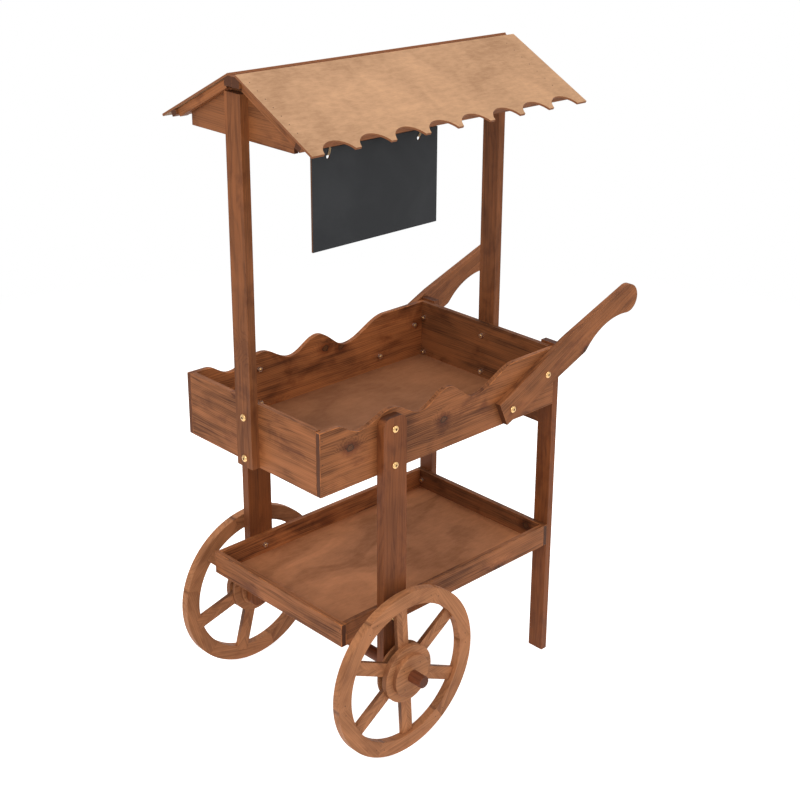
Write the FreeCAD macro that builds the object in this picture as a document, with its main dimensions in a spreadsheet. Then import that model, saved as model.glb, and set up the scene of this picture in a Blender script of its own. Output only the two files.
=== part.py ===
import FreeCAD, Part, Sketcher
import math
import os

from FreeCAD import Placement, Rotation, Vector

# Flower cart stand: an upper tray and a lower shelf between two front legs that
# carry a wheel axle and two rear legs that stand on the floor, a pair of cart
# handles, two posts with a scalloped gable roof, and a hanging chalkboard.
#
# X runs along the cart from its front (wheels) to its handles, Y across it and
# Z up from the floor.  Lengths along X are counted from the front face of the
# tray; the whole cart is then moved so that the middle of its outline is at 0.

doc = FreeCAD.newDocument("FlowerCartStand")
sheet = doc.addObject("Spreadsheet::Sheet", "Sizes")

SIZES = [
    # upper tray
    ("tub_length", 685.0, "outer length of the tray"),
    ("tub_width", 428.0, "outer width of the tray"),
    ("tub_bottom", 649.0, "height of the underside above the floor"),
    ("tub_height", 140.0, "height of the tray's boards"),
    ("board_t", 12.0, "thickness of the tray and shelf boards"),
    ("floor_t", 5.0, "plywood floor of both trays"),
    ("wave_end", 17.5, "flat run at each end of the wavy top"),
    ("wave_depth", 36.0, "depth of the dips in the wavy top"),
    ("crest_radius", 45.0, "radius of the crests of the wavy top"),
    # lower shelf
    ("shelf_front", 50.0, "front face of the shelf behind the tray's"),
    ("shelf_bottom", 289.0, "height of the shelf's underside"),
    ("shelf_height", 52.0, "height of the shelf's boards"),
    # posts of the roof
    ("post_w", 48.0, "width of a post"),
    ("post_t", 18.5, "thickness of a post"),
    ("post_top", 1415.0, "height of the top of a post"),
    # front legs
    ("leg_x", 180.0, "middle of a front leg behind the tray's front"),
    ("leg_w", 64.0, "width of a front leg"),
    ("leg_t", 20.0, "thickness of a front leg"),
    ("leg_drop", 13.0, "tops of the front legs below the tray's top"),
    ("leg_round", 20.0, "corner radius at the ends of a front leg"),
    ("leg_below_axle", 36.0, "leg left below the middle of the axle"),
    # rear legs and the rail between them
    ("rear_leg_w", 42.0, "width of a rear leg"),
    ("rear_leg_t", 16.5, "thickness of a rear leg"),
    ("rear_leg_rise", 5.0, "tops of the rear legs above the tray's top"),
    ("rail_h", 58.0, "height of the rail between the rear legs"),
    # handles
    ("handle_back", 166.8, "lower corner of a handle before the tray's rear face"),
    ("handle_up", 3.0, "lower corner of a handle above the tray's underside"),
    ("handle_angle", 24.3, "rise of a handle in degrees"),
    ("handle_w", 60.0, "width of a handle at its lower end"),
    ("handle_t", 15.0, "thickness of a handle"),
    ("handle_length", 483.0, "length of a handle"),
    ("handle_swell", 3.0, "how far the upper edge rises above its lower end"),
    ("swell_at", 235.0, "where it is highest, along the handle"),
    ("handle_drop", 10.5, "how far the lower edge falls before the grip"),
    ("shoulder_radius", 25.0, "rounding of the lower edge before the grip"),
    ("hollow_at", 352.0, "middle of the hollow under the grip"),
    ("hollow_rise", 7.5, "top of the hollow above the lower corner"),
    ("grip_radius", 34.0, "radius of the rounded end of a handle"),
    ("grip_middle", 15.0, "middle of that end above the lower corner"),
    # roof
    ("roof_front", 0.0, "roof in front of the front post"),
    ("roof_rear", 32.0, "roof behind the rear post"),
    ("roof_t", 5.0, "thickness of a roof panel"),
    ("ridge_z", 1450.0, "height of the ridge"),
    ("ridge_gap", 24.0, "distance between the upper edges of the panels"),
    ("eave_y", 228.0, "eave from the middle of the cart"),
    ("eave_z", 1337.0, "height of the eaves"),
    ("notch_count", 8, "hollows in each eave"),
    ("notch_w", 74.5, "width of a hollow at the eave"),
    ("notch_depth", 30.0, "depth of a hollow"),
    ("notch_pitch", 88.7, "distance from hollow to hollow"),
    ("eave_batten_w", 16.0, "width of an eave batten"),
    ("eave_batten_h", 11.5, "depth of an eave batten"),
    ("eave_batten_inset", 1.5, "eave batten behind the ends of the hollows"),
    ("rafter_w", 18.0, "width of a rafter"),
    ("rafter_h", 17.0, "depth of a rafter"),
    ("ridge_batten_w", 23.0, "width of a ridge batten"),
    ("ridge_batten_z", 1425.0, "height of the underside of the ridge battens"),
    ("rafter_setback", 5.5, "rafters behind the outer face of a post"),
    ("gusset_half", 155.0, "half the length of a gusset"),
    ("gusset_bottom", 1325.0, "height of the underside of a gusset"),
    ("gusset_t", 10.0, "thickness of a gusset"),
    # wheels and axle
    ("axle_offset", 5.0, "axle behind the middle of a front leg"),
    ("axle_d", 27.0, "diameter of the axle"),
    ("axle_past", 35.0, "axle past the outer bosses"),
    ("axle_chamfer", 1.5, "chamfer at the ends of the axle"),
    ("wheel_radius", 192.0, "radius of a wheel"),
    ("rim_w", 34.6, "radial width of a rim"),
    ("rim_t", 19.5, "thickness of a rim"),
    ("spoke_count", 6, "spokes and rim pieces in a wheel"),
    ("spoke_w", 30.0, "width of a spoke"),
    ("spoke_t", 10.5, "thickness of a spoke"),
    ("spoke_lap", 12.0, "how far a spoke is let into the rim"),
    ("plate_r", 65.3, "radius of the hub plates"),
    ("plate_front_t", 13.5, "thickness of the outer hub plate"),
    ("plate_back_t", 6.0, "thickness of the inner hub plate"),
    ("boss_r", 47.5, "radius of the hub bosses"),
    ("boss_front_t", 11.0, "thickness of the outer boss"),
    ("boss_back_t", 8.5, "thickness of the inner boss"),
    ("hub_chamfer", 1.5, "chamfer of the hub's edges"),
    ("wheel_gap", 1.5, "gap between a wheel and its leg"),
    ("near_wheel_turn", 3.5, "degrees that the near wheel stands turned"),
    ("far_wheel_turn", 15.0, "degrees that the far wheel stands turned"),
    # chalkboard
    ("chalk_x", 13.0, "front edge of the chalkboard behind the tray's front"),
    ("chalk_w", 319.0, "length of the chalkboard"),
    ("chalk_h", 192.5, "height of the chalkboard"),
    ("chalk_t", 4.0, "thickness of the chalkboard"),
    ("chalk_corner", 1.5, "corner radius of the chalkboard"),
    ("chalk_hole_front", 39.5, "front hole behind the board's front edge"),
    ("chalk_hole_rear", 50.5, "rear hole before the board's rear edge"),
    ("chalk_hole_drop", 16.0, "holes below the board's top edge"),
    ("chalk_hole_d", 6.0, "diameter of the holes"),
    ("chalk_below", 1.0, "board's top edge below the staples it hangs on"),
    ("twine_d", 2.0, "diameter of the twine"),
    ("twine_lean", 5.0, "staples behind the holes in the board"),
    ("knot_d", 4.6, "diameter of the knots"),
    ("knot_drop", 6.0, "knots below the upper bend of the twine"),
    ("tail_length", 12.0, "loose end of twine below a knot"),
    ("staple_d", 1.2, "wire of the two staples under the eave batten"),
    ("staple_w", 12.0, "width of a staple"),
    ("staple_leg", 9.0, "leg of a staple in the batten"),
    ("staple_drop", 4.2, "staple's bar below the batten"),
    ("staple_in", 5.0, "staple behind the batten's outer face"),
    # bolts and nuts
    ("bolt_d", 6.0, "diameter of the bolts"),
    ("bolt_head_d", 16.0, "diameter of the domed heads"),
    ("bolt_head_h", 3.6, "height of the domed heads"),
    ("nut_af", 10.0, "width of the nuts across their flats"),
    ("nut_h", 5.0, "height of the nuts"),
    ("bolt_past_nut", 1.5, "bolt past its nut"),
    ("post_bolt_high", 109.0, "upper post bolts above the tray's underside"),
    ("post_bolt_low", 19.0, "lower post bolts above the tray's underside"),
    ("leg_bolt_high", 100.0, "upper leg bolts above the tray's underside"),
    ("leg_bolt_low", 20.0, "lower leg bolts above the tray's underside"),
    ("rear_bolt_high", 101.0, "upper rear leg bolts above the underside"),
    ("rear_bolt_low", 13.0, "lower rear leg bolts above the underside"),
    ("shelf_bolt", 26.0, "shelf bolts above the shelf's underside"),
    ("handle_bolt_near", 29.0, "lower handle bolts along the handle"),
    ("handle_bolt_far", 152.0, "upper handle bolts along the handle"),
    ("handle_bolt_in", 22.5, "handle bolts from the handle's lower edge"),
    # clearances
    ("bolt_clear", 0.3, "radial clearance of the bolt holes"),
    ("axle_clear", 0.05, "radial clearance of the axle in the legs"),
    ("hub_clear", 0.1, "radial clearance of the axle in the hubs"),
    ("twine_clear", 0.3, "gap between twine and wire or hole"),
]

for row, (name, value, note) in enumerate(SIZES, start=1):
    sheet.set("A%d" % row, name)
    sheet.set("B%d" % row, str(value))
    sheet.set("C%d" % row, note)
    sheet.setAlias("B%d" % row, name)
doc.recompute()


class Size(float):
    """A number worked out from the sheet's cells, with the expression that
    gives it, so that what is drawn with it stays bound to the cells."""

    def __new__(cls, value, text):
        made = float.__new__(cls, value)
        made.text = text
        return made

    def __add__(self, other):
        return Size(float(self) + float(other), "(%s + %s)" % (self.text, text_of(other)))

    def __radd__(self, other):
        return Size(float(other) + float(self), "(%s + %s)" % (text_of(other), self.text))

    def __sub__(self, other):
        return Size(float(self) - float(other), "(%s - %s)" % (self.text, text_of(other)))

    def __rsub__(self, other):
        return Size(float(other) - float(self), "(%s - %s)" % (text_of(other), self.text))

    def __mul__(self, other):
        return Size(float(self) * float(other), "%s * %s" % (self.text, text_of(other)))

    def __rmul__(self, other):
        return Size(float(other) * float(self), "%s * %s" % (text_of(other), self.text))

    def __truediv__(self, other):
        return Size(float(self) / float(other), "(%s / (%s))" % (self.text, text_of(other)))

    def __neg__(self):
        return Size(-float(self), "(-1 * %s)" % self.text)


def text_of(value):
    """Expression of a number."""
    return value.text if isinstance(value, Size) else repr(float(value))


def root(value):
    return Size(math.sqrt(value), "sqrt(%s)" % text_of(value))


def cosine(degrees):
    return Size(math.cos(math.radians(degrees)), "cos(%s)" % text_of(degrees))


def sine(degrees):
    return Size(math.sin(math.radians(degrees)), "sin(%s)" % text_of(degrees))


def tangent(degrees):
    return Size(math.tan(math.radians(degrees)), "tan(%s)" % text_of(degrees))


class S:
    """The sheet's values, each with the name of its cell."""


for name, value, note in SIZES:
    setattr(S, name, Size(getattr(sheet, name), "Sizes." + name))

# ---------------------------------------------------------------- derived places

side_y = S.tub_width / 2                      # outer faces of tray and shelf
tub_top = S.tub_bottom + S.tub_height
leg_top = tub_top - S.leg_drop
rear_leg_top = tub_top + S.rear_leg_rise
rear_leg_y = side_y - S.rear_leg_w / 2        # middle of a rear leg
axle_x = S.leg_x + S.axle_offset
axle_z = S.wheel_radius
hub_y = side_y + S.leg_t + S.wheel_gap        # inner end of a hub
roof_x0 = -S.post_t - S.roof_front
roof_x1 = S.tub_length + S.post_t + S.roof_rear
roof_run = S.eave_y - S.ridge_gap / 2
roof_rise = S.ridge_z - S.eave_z
roof_slant = root(roof_run * roof_run + roof_rise * roof_rise)
roof_pitch = math.atan2(roof_rise, roof_run)
roof_cos = roof_run / roof_slant
roof_sin = roof_rise / roof_slant
roof_tan = roof_rise / roof_run
handle_x = S.tub_length - S.handle_back
handle_z = S.tub_bottom + S.handle_up


def handle_point(along, across):
    """X and Z of a point given along a handle and up across it."""
    x = handle_x + along * cosine(S.handle_angle) - across * sine(S.handle_angle)
    z = handle_z + along * sine(S.handle_angle) + across * cosine(S.handle_angle)
    return x, z


tip_centre = (S.handle_length - S.grip_radius, S.grip_middle)
handle_tip = handle_point(*tip_centre)[0] + S.grip_radius
SHIFT = -(handle_tip - S.post_t - S.bolt_head_h) / 2

# ---------------------------------------------------------------- modelling helpers


def origin_plane(body, role):
    for feature in body.Origin.OriginFeatures:
        if feature.Role == role:
            return feature
    raise RuntimeError("no plane " + role)


def place(obj, x=0.0, y=0.0, z=0.0, rotation=None):
    """Puts an object at a place counted from the tray's front face."""
    spot = Vector(x + SHIFT, y, z)
    obj.Placement = Placement(spot, rotation or Rotation())
    for axis, value in (("x", x + SHIFT), ("y", y), ("z", z)):
        if isinstance(value, Size):
            obj.setExpression("Placement.Base." + axis, value.text)
    return obj


def new_body(label):
    body = doc.addObject("PartDesign::Body", label)
    body.Label = label
    return body


def new_sketch(body, label, role):
    sketch = body.newObject("Sketcher::SketchObject", label)
    sketch.AttachmentSupport = [(origin_plane(body, role), "")]
    sketch.MapMode = "FlatFace"
    return sketch


def hold(sketch, wanted):
    """Adds constraints to a sketch; each is its kind, its places in the sketch
    and its size, which stays bound to the sheet."""
    first = sketch.ConstraintCount
    sketch.addConstraint([Sketcher.Constraint(kind, *where, float(size))
                          for kind, where, size in wanted])
    for index, (kind, where, size) in enumerate(wanted, start=first):
        if isinstance(size, Size):
            sketch.setExpression("Constraints[%d]" % index, size.text)


def draw_outline(sketch, outline):
    """Draws a closed outline.

    Each entry is (x, y), the end of a straight run, or (mid, end, radius), an
    arc through the point mid that ends at end.  The last end is the start.
    """
    def end_of(entry):
        return entry[1] if isinstance(entry[0], tuple) else entry

    start = end_of(outline[-1])
    lines = []
    wanted = []
    for number, entry in enumerate(outline, start=sketch.GeometryCount):
        end = end_of(entry)
        a = Vector(start[0], start[1], 0)
        b = Vector(end[0], end[1], 0)
        if isinstance(entry[0], tuple):
            lines.append(Part.Arc(a, Vector(entry[0][0], entry[0][1], 0), b))
            wanted.append(("Radius", (number,), entry[2]))
        else:
            lines.append(Part.LineSegment(a, b))
        start = end
    first = sketch.GeometryCount
    sketch.addGeometry(lines, False)
    joints = []
    for place_in, entry in enumerate(outline):
        here = first + place_in
        after = first + (place_in + 1) % len(outline)
        end = end_of(entry)
        tail = nearest_end(sketch, here, end)
        joints.append(Sketcher.Constraint("Coincident", here, tail, after,
                                          nearest_end(sketch, after, end)))
        wanted.append(("DistanceX", (-1, 1, here, tail), end[0]))
        wanted.append(("DistanceY", (-1, 1, here, tail), end[1]))
    sketch.addConstraint(joints)
    hold(sketch, wanted)


def nearest_end(sketch, index, point):
    """1 for the start of a line or arc and 2 for its end, the one at a point."""
    spot = Vector(point[0], point[1], 0)
    gaps = [(sketch.getPoint(index, end) - spot).Length for end in (1, 2)]
    return 1 if gaps[0] < gaps[1] else 2


def draw_circle(sketch, x, y, radius):
    index = sketch.addGeometry(Part.Circle(Vector(x, y, 0), Vector(0, 0, 1), radius), False)
    hold(sketch, [("Radius", (index,), radius),
                  ("DistanceX", (-1, 1, index, 3), x),
                  ("DistanceY", (-1, 1, index, 3), y)])


def pad(body, sketch, label, expression, reverse=False):
    feature = body.newObject("PartDesign::Pad", label)
    feature.Profile = sketch
    feature.setExpression("Length", expression)
    feature.Reversed = reverse
    return feature


def plate(label, role, outline, thickness, holes=(), reverse=False):
    """A board cut from one thickness: an outline with round holes."""
    body = new_body(label)
    sketch = new_sketch(body, label + "_outline", role)
    draw_outline(sketch, outline)
    for x, y, radius in holes:
        draw_circle(sketch, x, y, radius)
    pad(body, sketch, label + "_pad", thickness, reverse)
    return body


def rectangle(x0, y0, x1, y1):
    return [(x1, y0), (x1, y1), (x0, y1), (x0, y0)]


def rounded_rectangle(x0, y0, x1, y1, radius):
    k = radius * (1 - math.sqrt(0.5))
    return [
        (x1 - radius, y0), ((x1 - k, y0 + k), (x1, y0 + radius), radius),
        (x1, y1 - radius), ((x1 - k, y1 - k), (x1 - radius, y1), radius),
        (x0 + radius, y1), ((x0 + k, y1 - k), (x0, y1 - radius), radius),
        (x0, y0 + radius), ((x0 + k, y0 + k), (x0 + radius, y0), radius),
    ]


def group(label, source, placements):
    """Separate copies of one piece, kept together as one sub-part."""
    doc.recompute()
    shape = source.Shape.copy()
    shape.Placement = Placement()
    copies = []
    for placement in placements:
        copy = shape.copy()
        copy.Placement = placement
        copies.append(copy)
    feature = doc.addObject("Part::Feature", label)
    feature.Label = label
    feature.Shape = Part.makeCompound(copies)
    return feature


def at(x, y, z, rotation=None):
    return Placement(Vector(x, y, z), rotation or Rotation())


PARTS = []


def keep(obj, x=0.0, y=0.0, z=0.0, rotation=None):
    PARTS.append(place(obj, x, y, z, rotation))
    return obj


bolt_hole = S.bolt_d / 2 + S.bolt_clear
FRONT = Rotation(Vector(0, 1, 0), -90)        # bolt axis +Z turned to -X
REAR = Rotation(Vector(0, 1, 0), 90)          # to +X
NEAR = Rotation(Vector(1, 0, 0), 90)          # to -Y
FAR = Rotation(Vector(1, 0, 0), -90)          # to +Y

# ---------------------------------------------------------------- upper tray

handle_bolts = [handle_point(S.handle_bolt_near, S.handle_bolt_in),
                handle_point(S.handle_bolt_far, S.handle_bolt_in)]
leg_bolt_z = [S.tub_bottom + S.leg_bolt_high, S.tub_bottom + S.leg_bolt_low]
post_bolt_z = [S.tub_bottom + S.post_bolt_high, S.tub_bottom + S.post_bolt_low]
rear_bolt_z = [S.tub_bottom + S.rear_bolt_high, S.tub_bottom + S.rear_bolt_low]
shelf_bolt_z = S.shelf_bottom + S.shelf_bolt


def wavy_outline():
    """Side board: dips and crests of tangent arcs between two flat ends."""
    dips = 4
    pitch = (S.tub_length - 2 * S.wave_end) / dips
    half = pitch / 2
    # tangent arcs: the centres lie the sum of the two radii apart
    radii = (half * half + S.wave_depth * S.wave_depth) / (2 * S.wave_depth)
    dip_radius = radii - S.crest_radius
    crest_z = tub_top - S.crest_radius
    dip_z = tub_top - S.wave_depth + dip_radius
    share = S.crest_radius / radii
    lean = math.asin(half / radii)
    outline = [(S.tub_length, S.tub_bottom), (S.tub_length, tub_top)]
    x = S.tub_length - S.wave_end
    outline.append((x, tub_top))
    for index in range(dips):
        join = (x - half * share, crest_z + (dip_z - crest_z) * share)
        mid = (x - S.crest_radius * math.sin(lean / 2),
               crest_z + S.crest_radius * math.cos(lean / 2))
        outline.append((mid, join, S.crest_radius))
        bottom = (x - half, tub_top - S.wave_depth)
        rise = (x - pitch + half * share, join[1])
        outline.append((bottom, rise, dip_radius))
        x = x - pitch
        mid = (x + S.crest_radius * math.sin(lean / 2),
               crest_z + S.crest_radius * math.cos(lean / 2))
        outline.append((mid, (x, tub_top), S.crest_radius))
    outline.append((0, tub_top))
    outline.append((0, S.tub_bottom))
    return outline


side_holes = [(S.leg_x, z, bolt_hole) for z in leg_bolt_z]
side_holes += [(x, z, bolt_hole) for x, z in handle_bolts]
for label, face in (("tub_side_near", -side_y + S.board_t), ("tub_side_far", side_y)):
    keep(plate(label, "XZ_Plane", wavy_outline(), "Sizes.board_t", side_holes), y=face)

end_y = side_y - S.board_t
end_outline = rectangle(-end_y, S.tub_bottom, end_y, tub_top)
post_holes = [(0, z, bolt_hole) for z in post_bolt_z]
rear_holes = [(side * rear_leg_y, z, bolt_hole) for side in (-1, 1) for z in rear_bolt_z]
keep(plate("tub_end_front", "YZ_Plane", end_outline, "Sizes.board_t", post_holes))
keep(plate("tub_end_rear", "YZ_Plane", end_outline, "Sizes.board_t",
           post_holes + rear_holes), x=S.tub_length - S.board_t)
keep(plate("tub_floor", "XY_Plane",
           rectangle(S.board_t, -end_y, S.tub_length - S.board_t, end_y),
           "Sizes.floor_t"), z=S.tub_bottom)

# ---------------------------------------------------------------- lower shelf

shelf_top = S.shelf_bottom + S.shelf_height
shelf_side = rectangle(S.shelf_front + S.board_t, S.shelf_bottom,
                       S.tub_length - S.board_t, shelf_top)
shelf_side_holes = [(S.leg_x, shelf_bolt_z, bolt_hole)]
for label, face in (("shelf_side_near", -side_y + S.board_t), ("shelf_side_far", side_y)):
    keep(plate(label, "XZ_Plane", shelf_side, "Sizes.board_t", shelf_side_holes), y=face)

shelf_end = rectangle(-side_y, S.shelf_bottom, side_y, shelf_top)
shelf_rear_holes = [(side * rear_leg_y, shelf_bolt_z, bolt_hole) for side in (-1, 1)]
keep(plate("shelf_end_front", "YZ_Plane", shelf_end, "Sizes.board_t"), x=S.shelf_front)
keep(plate("shelf_end_rear", "YZ_Plane", shelf_end, "Sizes.board_t", shelf_rear_holes),
     x=S.tub_length - S.board_t)
keep(plate("shelf_floor", "XY_Plane",
           rectangle(S.shelf_front + S.board_t, -end_y, S.tub_length - S.board_t, end_y),
           "Sizes.floor_t"), z=S.shelf_bottom)

# ---------------------------------------------------------------- posts and legs

post_outline = rectangle(-S.post_w / 2, S.tub_bottom, S.post_w / 2, S.post_top)
keep(plate("post_front", "YZ_Plane", post_outline, "Sizes.post_t", post_holes),
     x=-S.post_t)
keep(plate("post_rear", "YZ_Plane", post_outline, "Sizes.post_t", post_holes),
     x=S.tub_length)

leg_outline = rounded_rectangle(S.leg_x - S.leg_w / 2, axle_z - S.leg_below_axle,
                                S.leg_x + S.leg_w / 2, leg_top, S.leg_round)
leg_holes = side_holes[:2] + shelf_side_holes
leg_holes.append((axle_x, axle_z, S.axle_d / 2 + S.axle_clear))
keep(plate("front_leg_near", "XZ_Plane", leg_outline, "Sizes.leg_t", leg_holes),
     y=-side_y)
keep(plate("front_leg_far", "XZ_Plane", leg_outline, "Sizes.leg_t", leg_holes),
     y=side_y + S.leg_t)

rear_leg_outline = rectangle(-S.rear_leg_w / 2, 0, S.rear_leg_w / 2, rear_leg_top)
rear_leg_holes = [(0, z, bolt_hole) for z in rear_bolt_z + [shelf_bolt_z]]
for label, side in (("rear_leg_near", -1), ("rear_leg_far", 1)):
    keep(plate(label, "YZ_Plane", rear_leg_outline, "Sizes.rear_leg_t", rear_leg_holes),
         x=S.tub_length, y=side * rear_leg_y)

rail_y = side_y - S.rear_leg_w
keep(plate("cross_rail", "YZ_Plane",
           rectangle(-rail_y, S.tub_bottom - S.rail_h, rail_y, S.tub_bottom),
           "Sizes.rear_leg_t"), x=S.tub_length)

# ---------------------------------------------------------------- handles


def touch(centre, radius, other):
    """Point of a circle on the line towards another circle's middle."""
    gap = math.dist(centre, other)
    return (centre[0] + (other[0] - centre[0]) * radius / gap,
            centre[1] + (other[1] - centre[1]) * radius / gap)


def draw_handle(sketch):
    """A board that swells, a hollow under the grip and a round end, drawn
    along the handle and up across it.

    The lower edge runs through three tangent arcs: a shoulder, the hollow,
    whose radius follows from touching the round end, and the round end.
    """
    tip_u, tip_v = tip_centre
    rise = float(tip_v - S.hollow_rise)
    hollow_radius = (((tip_u - S.hollow_at) ** 2 + rise ** 2 - S.grip_radius ** 2)
                     / (2 * (S.grip_radius - rise)))
    hollow = (float(S.hollow_at), S.hollow_rise - hollow_radius)
    shoulder_v = S.shoulder_radius - S.handle_drop
    reach = math.sqrt((hollow_radius + S.shoulder_radius) ** 2
                      - (shoulder_v - hollow[1]) ** 2)
    shoulder = (S.hollow_at - reach, shoulder_v)
    into_hollow = touch(shoulder, S.shoulder_radius, hollow)
    into_tip = touch(tip_centre, S.grip_radius, hollow)
    half_turn = math.asin(reach / (hollow_radius + S.shoulder_radius)) / 2
    shoulder_mid = (shoulder[0] + S.shoulder_radius * math.sin(half_turn),
                    shoulder[1] - S.shoulder_radius * math.cos(half_turn))
    below = (float(shoulder[0]), -S.handle_drop)
    tip_end = (tip_u, tip_v + S.grip_radius)
    draw_outline(sketch, [
        below,
        (shoulder_mid, tuple(float(v) for v in into_hollow), S.shoulder_radius),
        ((S.hollow_at, S.hollow_rise), tuple(float(v) for v in into_tip),
         float(hollow_radius)),
        ((tip_u + S.grip_radius, tip_v), tip_end, S.grip_radius),
        (S.swell_at, S.handle_w + S.handle_swell),
        (0.0, S.handle_w),
        (0.0, 0.0),
    ])


for label, face in (("handle_near", -side_y), ("handle_far", side_y + S.handle_t)):
    body = new_body(label)
    sketch = new_sketch(body, label + "_outline", "XZ_Plane")
    draw_handle(sketch)
    for along in (S.handle_bolt_near, S.handle_bolt_far):
        draw_circle(sketch, along, S.handle_bolt_in, bolt_hole)
    pad(body, sketch, label + "_pad", "Sizes.handle_t")
    keep(body, x=handle_x, y=face, z=handle_z,
         rotation=Rotation(Vector(0, -1, 0), float(S.handle_angle)))

# ---------------------------------------------------------------- roof


def roof_side(side, x, slant, depth):
    """Placement on a roof slope: local X along the cart, local Y down the
    slope and local Z out of the roof; depth is counted below the panel's top."""
    y_dir = Vector(0, side * math.cos(roof_pitch), -math.sin(roof_pitch))
    z_dir = Vector(0, side * math.sin(roof_pitch), math.cos(roof_pitch))
    x_dir = y_dir.cross(z_dir)
    point = Vector(x + SHIFT, side * S.ridge_gap / 2, S.ridge_z)
    point = point + y_dir * slant - z_dir * depth
    return Placement(point, Rotation(x_dir, y_dir, z_dir, "ZXY"))


roof_length = roof_x1 - roof_x0
notch_radius = ((S.notch_w * S.notch_w / 4 + S.notch_depth * S.notch_depth)
                / (2 * S.notch_depth))
first_notch = (roof_length - (S.notch_count - 1) * S.notch_pitch) / 2
for label, side in (("roof_panel_near", -1), ("roof_panel_far", 1)):
    # the near slope's local X runs back along the cart, the far one's forward
    body = new_body(label)
    sketch = new_sketch(body, label + "_outline", "XY_Plane")
    draw_outline(sketch, rectangle(0, 0, roof_length, roof_slant))
    pad(body, sketch, label + "_pad", "Sizes.roof_t", True)
    cutter = new_sketch(body, label + "_notch", "XY_Plane")
    draw_circle(cutter, first_notch, roof_slant + notch_radius - S.notch_depth,
                notch_radius)
    pocket = body.newObject("PartDesign::Pocket", label + "_notch_cut")
    pocket.Profile = cutter
    pocket.setExpression("Length", "Sizes.roof_t")
    pocket.Reversed = False
    doc.recompute()
    pattern = body.newObject("PartDesign::LinearPattern", label + "_notches")
    pattern.Originals = [pocket]
    pattern.Direction = (cutter, ["H_Axis"])
    pattern.setExpression("Length", "(Sizes.notch_count - 1) * Sizes.notch_pitch")
    pattern.setExpression("Occurrences", "Sizes.notch_count")
    body.Tip = pattern
    doc.recompute()
    body.Placement = roof_side(side, roof_x0 if side > 0 else roof_x1, 0, 0)
    PARTS.append(body)

eave_slant = roof_slant - S.notch_depth - S.eave_batten_inset
hole_x = [S.chalk_x + S.chalk_hole_front, S.chalk_x + S.chalk_w - S.chalk_hole_rear]
staple_x = [x + S.twine_lean for x in hole_x]
staple_r = S.staple_d / 2
leg_x = [x + side * (S.staple_w / 2) for x in staple_x for side in (-1, 1)]
batten_holes = [(roof_x1 - x, -S.staple_in, staple_r + S.axle_clear) for x in leg_x]
for label, side, holes in (("eave_batten_near", -1, batten_holes),
                           ("eave_batten_far", 1, [])):
    body = plate(label, "XY_Plane", rectangle(0, -S.eave_batten_w, roof_length, 0),
                 "Sizes.eave_batten_h", holes, reverse=True)
    body.Placement = roof_side(side, roof_x0 if side > 0 else roof_x1,
                               eave_slant, S.roof_t)
    PARTS.append(body)

# ridge battens: flat on top between the panels, sloped under them
shoulder_y = S.ridge_gap / 2 - S.roof_t * roof_sin
shoulder_z = S.ridge_z - S.roof_t * roof_cos
outer_z = shoulder_z - (S.ridge_batten_w - shoulder_y) * roof_tan
for label, side in (("ridge_batten_near", -1), ("ridge_batten_far", 1)):
    section = [(side * S.ridge_batten_w, S.ridge_batten_z),
               (side * S.ridge_batten_w, outer_z),
               (side * shoulder_y, shoulder_z),
               (0, shoulder_z),
               (0, S.ridge_batten_z)]
    body = new_body(label)
    sketch = new_sketch(body, label + "_outline", "YZ_Plane")
    draw_outline(sketch, section)
    feature = body.newObject("PartDesign::Pad", label + "_pad")
    feature.Profile = sketch
    feature.setExpression("Length", "Sizes.tub_length + 2 * Sizes.post_t"
                          " + Sizes.roof_front + Sizes.roof_rear")
    keep(body, x=roof_x0)


def under_roof(y):
    """Height of the underside of the rafters at a distance from the middle."""
    drop = (S.roof_t + S.rafter_h) / roof_cos
    return S.ridge_z - (y - S.ridge_gap / 2) * roof_tan - drop


def rafter_section(side):
    """From the ridge batten's side to the eave batten's inner face."""
    panel_drop = S.roof_t / roof_cos
    top_y = S.ridge_batten_w
    rise = S.rafter_h * roof_sin
    low_y = (S.ridge_gap / 2 + (eave_slant - S.eave_batten_w) * roof_cos
             - S.roof_t * roof_sin)
    upper = [S.ridge_z - (y - S.ridge_gap / 2) * roof_tan - panel_drop
             for y in (top_y, low_y)]
    return [(side * low_y, upper[1]),
            (side * top_y, upper[0]),
            (side * top_y, under_roof(top_y)),
            (side * (low_y - rise), under_roof(low_y - rise))]


front_rafter_x = -S.post_t + S.rafter_setback
rear_rafter_x = S.tub_length + S.post_t - S.rafter_setback - S.rafter_w
for label, side, x in (("rafter_front_near", -1, front_rafter_x),
                       ("rafter_front_far", 1, front_rafter_x),
                       ("rafter_rear_near", -1, rear_rafter_x),
                       ("rafter_rear_far", 1, rear_rafter_x)):
    keep(plate(label, "YZ_Plane", rafter_section(side), "Sizes.rafter_w"), x=x)

# gussets: level below, sloped under the rafters, flat under the ridge battens
apex_y = S.ridge_gap / 2 + ((S.ridge_z - S.ridge_batten_z)
                            - (S.roof_t + S.rafter_h) / roof_cos) / roof_tan
gusset_outline = [(S.gusset_half, S.gusset_bottom),
                  (S.gusset_half, under_roof(S.gusset_half)),
                  (apex_y, S.ridge_batten_z),
                  (-apex_y, S.ridge_batten_z),
                  (-S.gusset_half, under_roof(S.gusset_half)),
                  (-S.gusset_half, S.gusset_bottom)]
keep(plate("gusset_front", "YZ_Plane", gusset_outline, "Sizes.gusset_t"))
keep(plate("gusset_rear", "YZ_Plane", gusset_outline, "Sizes.gusset_t"),
     x=S.tub_length - S.gusset_t)

# ---------------------------------------------------------------- axle and wheels


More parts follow.
